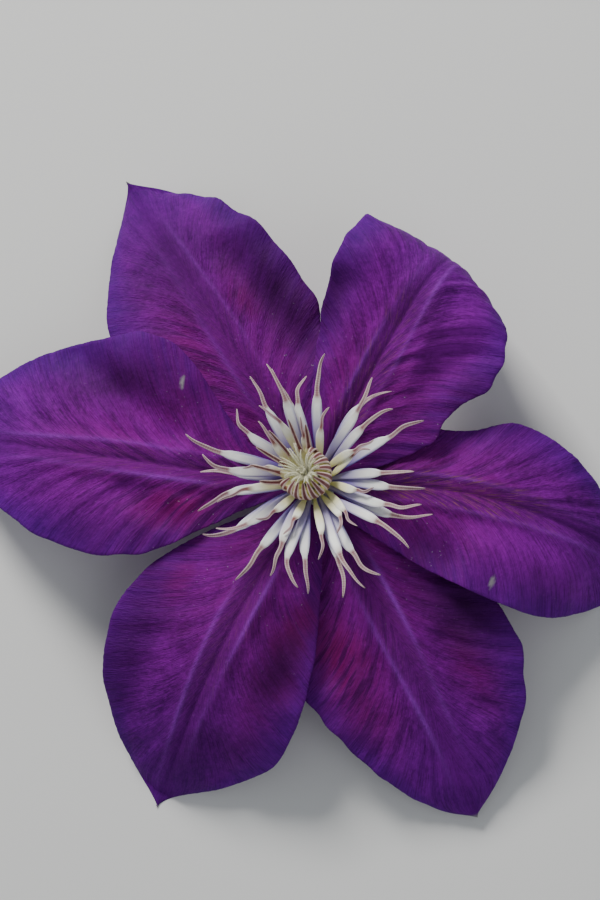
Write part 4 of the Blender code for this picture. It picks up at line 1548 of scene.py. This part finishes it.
def make_surround(colour, strength):
    """A pale surround that lights the flower from all sides."""
    world = bpy.data.worlds.new("pale_surround")
    world.use_nodes = True
    ground = world.node_tree.nodes["Background"]
    ground.inputs["Color"].default_value = (*colour, 1.0)
    ground.inputs["Strength"].default_value = strength
    bpy.context.scene.world = world


def make_camera(sizes):
    """The camera, nearly plumb over the flower, with the same way up."""
    data = bpy.data.cameras.new("camera")
    data.lens = sizes.lens
    data.sensor_width = SENSOR_WIDTH
    data.shift_x = SHIFT_X
    data.shift_y = SHIFT_Y
    camera = bpy.data.objects.new("camera", data)
    plumb = math.pi / 2 - sizes.tilt
    back = Vector(directions(np.array(sizes.lean_bearing), np.array(plumb)))
    right = Vector((0.0, 1.0, 0.0)).cross(back).normalized()
    turn = Matrix((right, back.cross(right), back)).transposed().to_4x4()
    aim = Vector((AXIS.x, AXIS.y, AIM_HEIGHT))
    camera.matrix_world = Matrix.Translation(aim + back * sizes.distance) @ turn
    bpy.context.scene.collection.objects.link(camera)
    bpy.context.scene.camera = camera


class CLEMATIS_PT_panel(bpy.types.Panel):
    """Lists the flower's pieces in the sidebar"""

    bl_label = "Clematis Flower"
    bl_idname = "CLEMATIS_PT_panel"
    bl_space_type = "VIEW_3D"
    bl_region_type = "UI"
    bl_category = "Clematis"

    def draw(self, context):
        for operator in OPERATORS:
            self.layout.operator(operator.bl_idname)


SETTINGS = (
    ("clematis_tepals", TepalSettings),
    ("clematis_stamens", StamenSettings),
    ("clematis_pistil", PistilSettings),
    ("clematis_stalk", StalkSettings),
    ("clematis_stage", StageSettings),
)
OPERATORS = (
    CLEMATIS_OT_tepals,
    CLEMATIS_OT_spreading_stamens,
    CLEMATIS_OT_hooked_stamens,
    CLEMATIS_OT_pistil,
    CLEMATIS_OT_stalk,
    CLEMATIS_OT_stage,
)


def register():
    """Register the settings, the operators and the panel."""
    for name, group in SETTINGS:
        bpy.utils.register_class(group)
        setattr(bpy.types.Scene, name, PointerProperty(type=group))
    for item in (*OPERATORS, CLEMATIS_PT_panel):
        bpy.utils.register_class(item)


def unregister():
    """Take the panel, the operators and the settings away again."""
    for item in (CLEMATIS_PT_panel, *reversed(OPERATORS)):
        bpy.utils.unregister_class(item)
    for name, group in reversed(SETTINGS):
        delattr(bpy.types.Scene, name)
        bpy.utils.unregister_class(group)


def main():
    """Build every piece."""
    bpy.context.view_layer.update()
    register()
    bpy.ops.clematis.tepals()
    bpy.ops.clematis.spreading_stamens()
    bpy.ops.clematis.hooked_stamens()
    bpy.ops.clematis.pistil()
    bpy.ops.clematis.stalk()
    bpy.ops.clematis.stage()


if __name__ == "__main__":
    main()
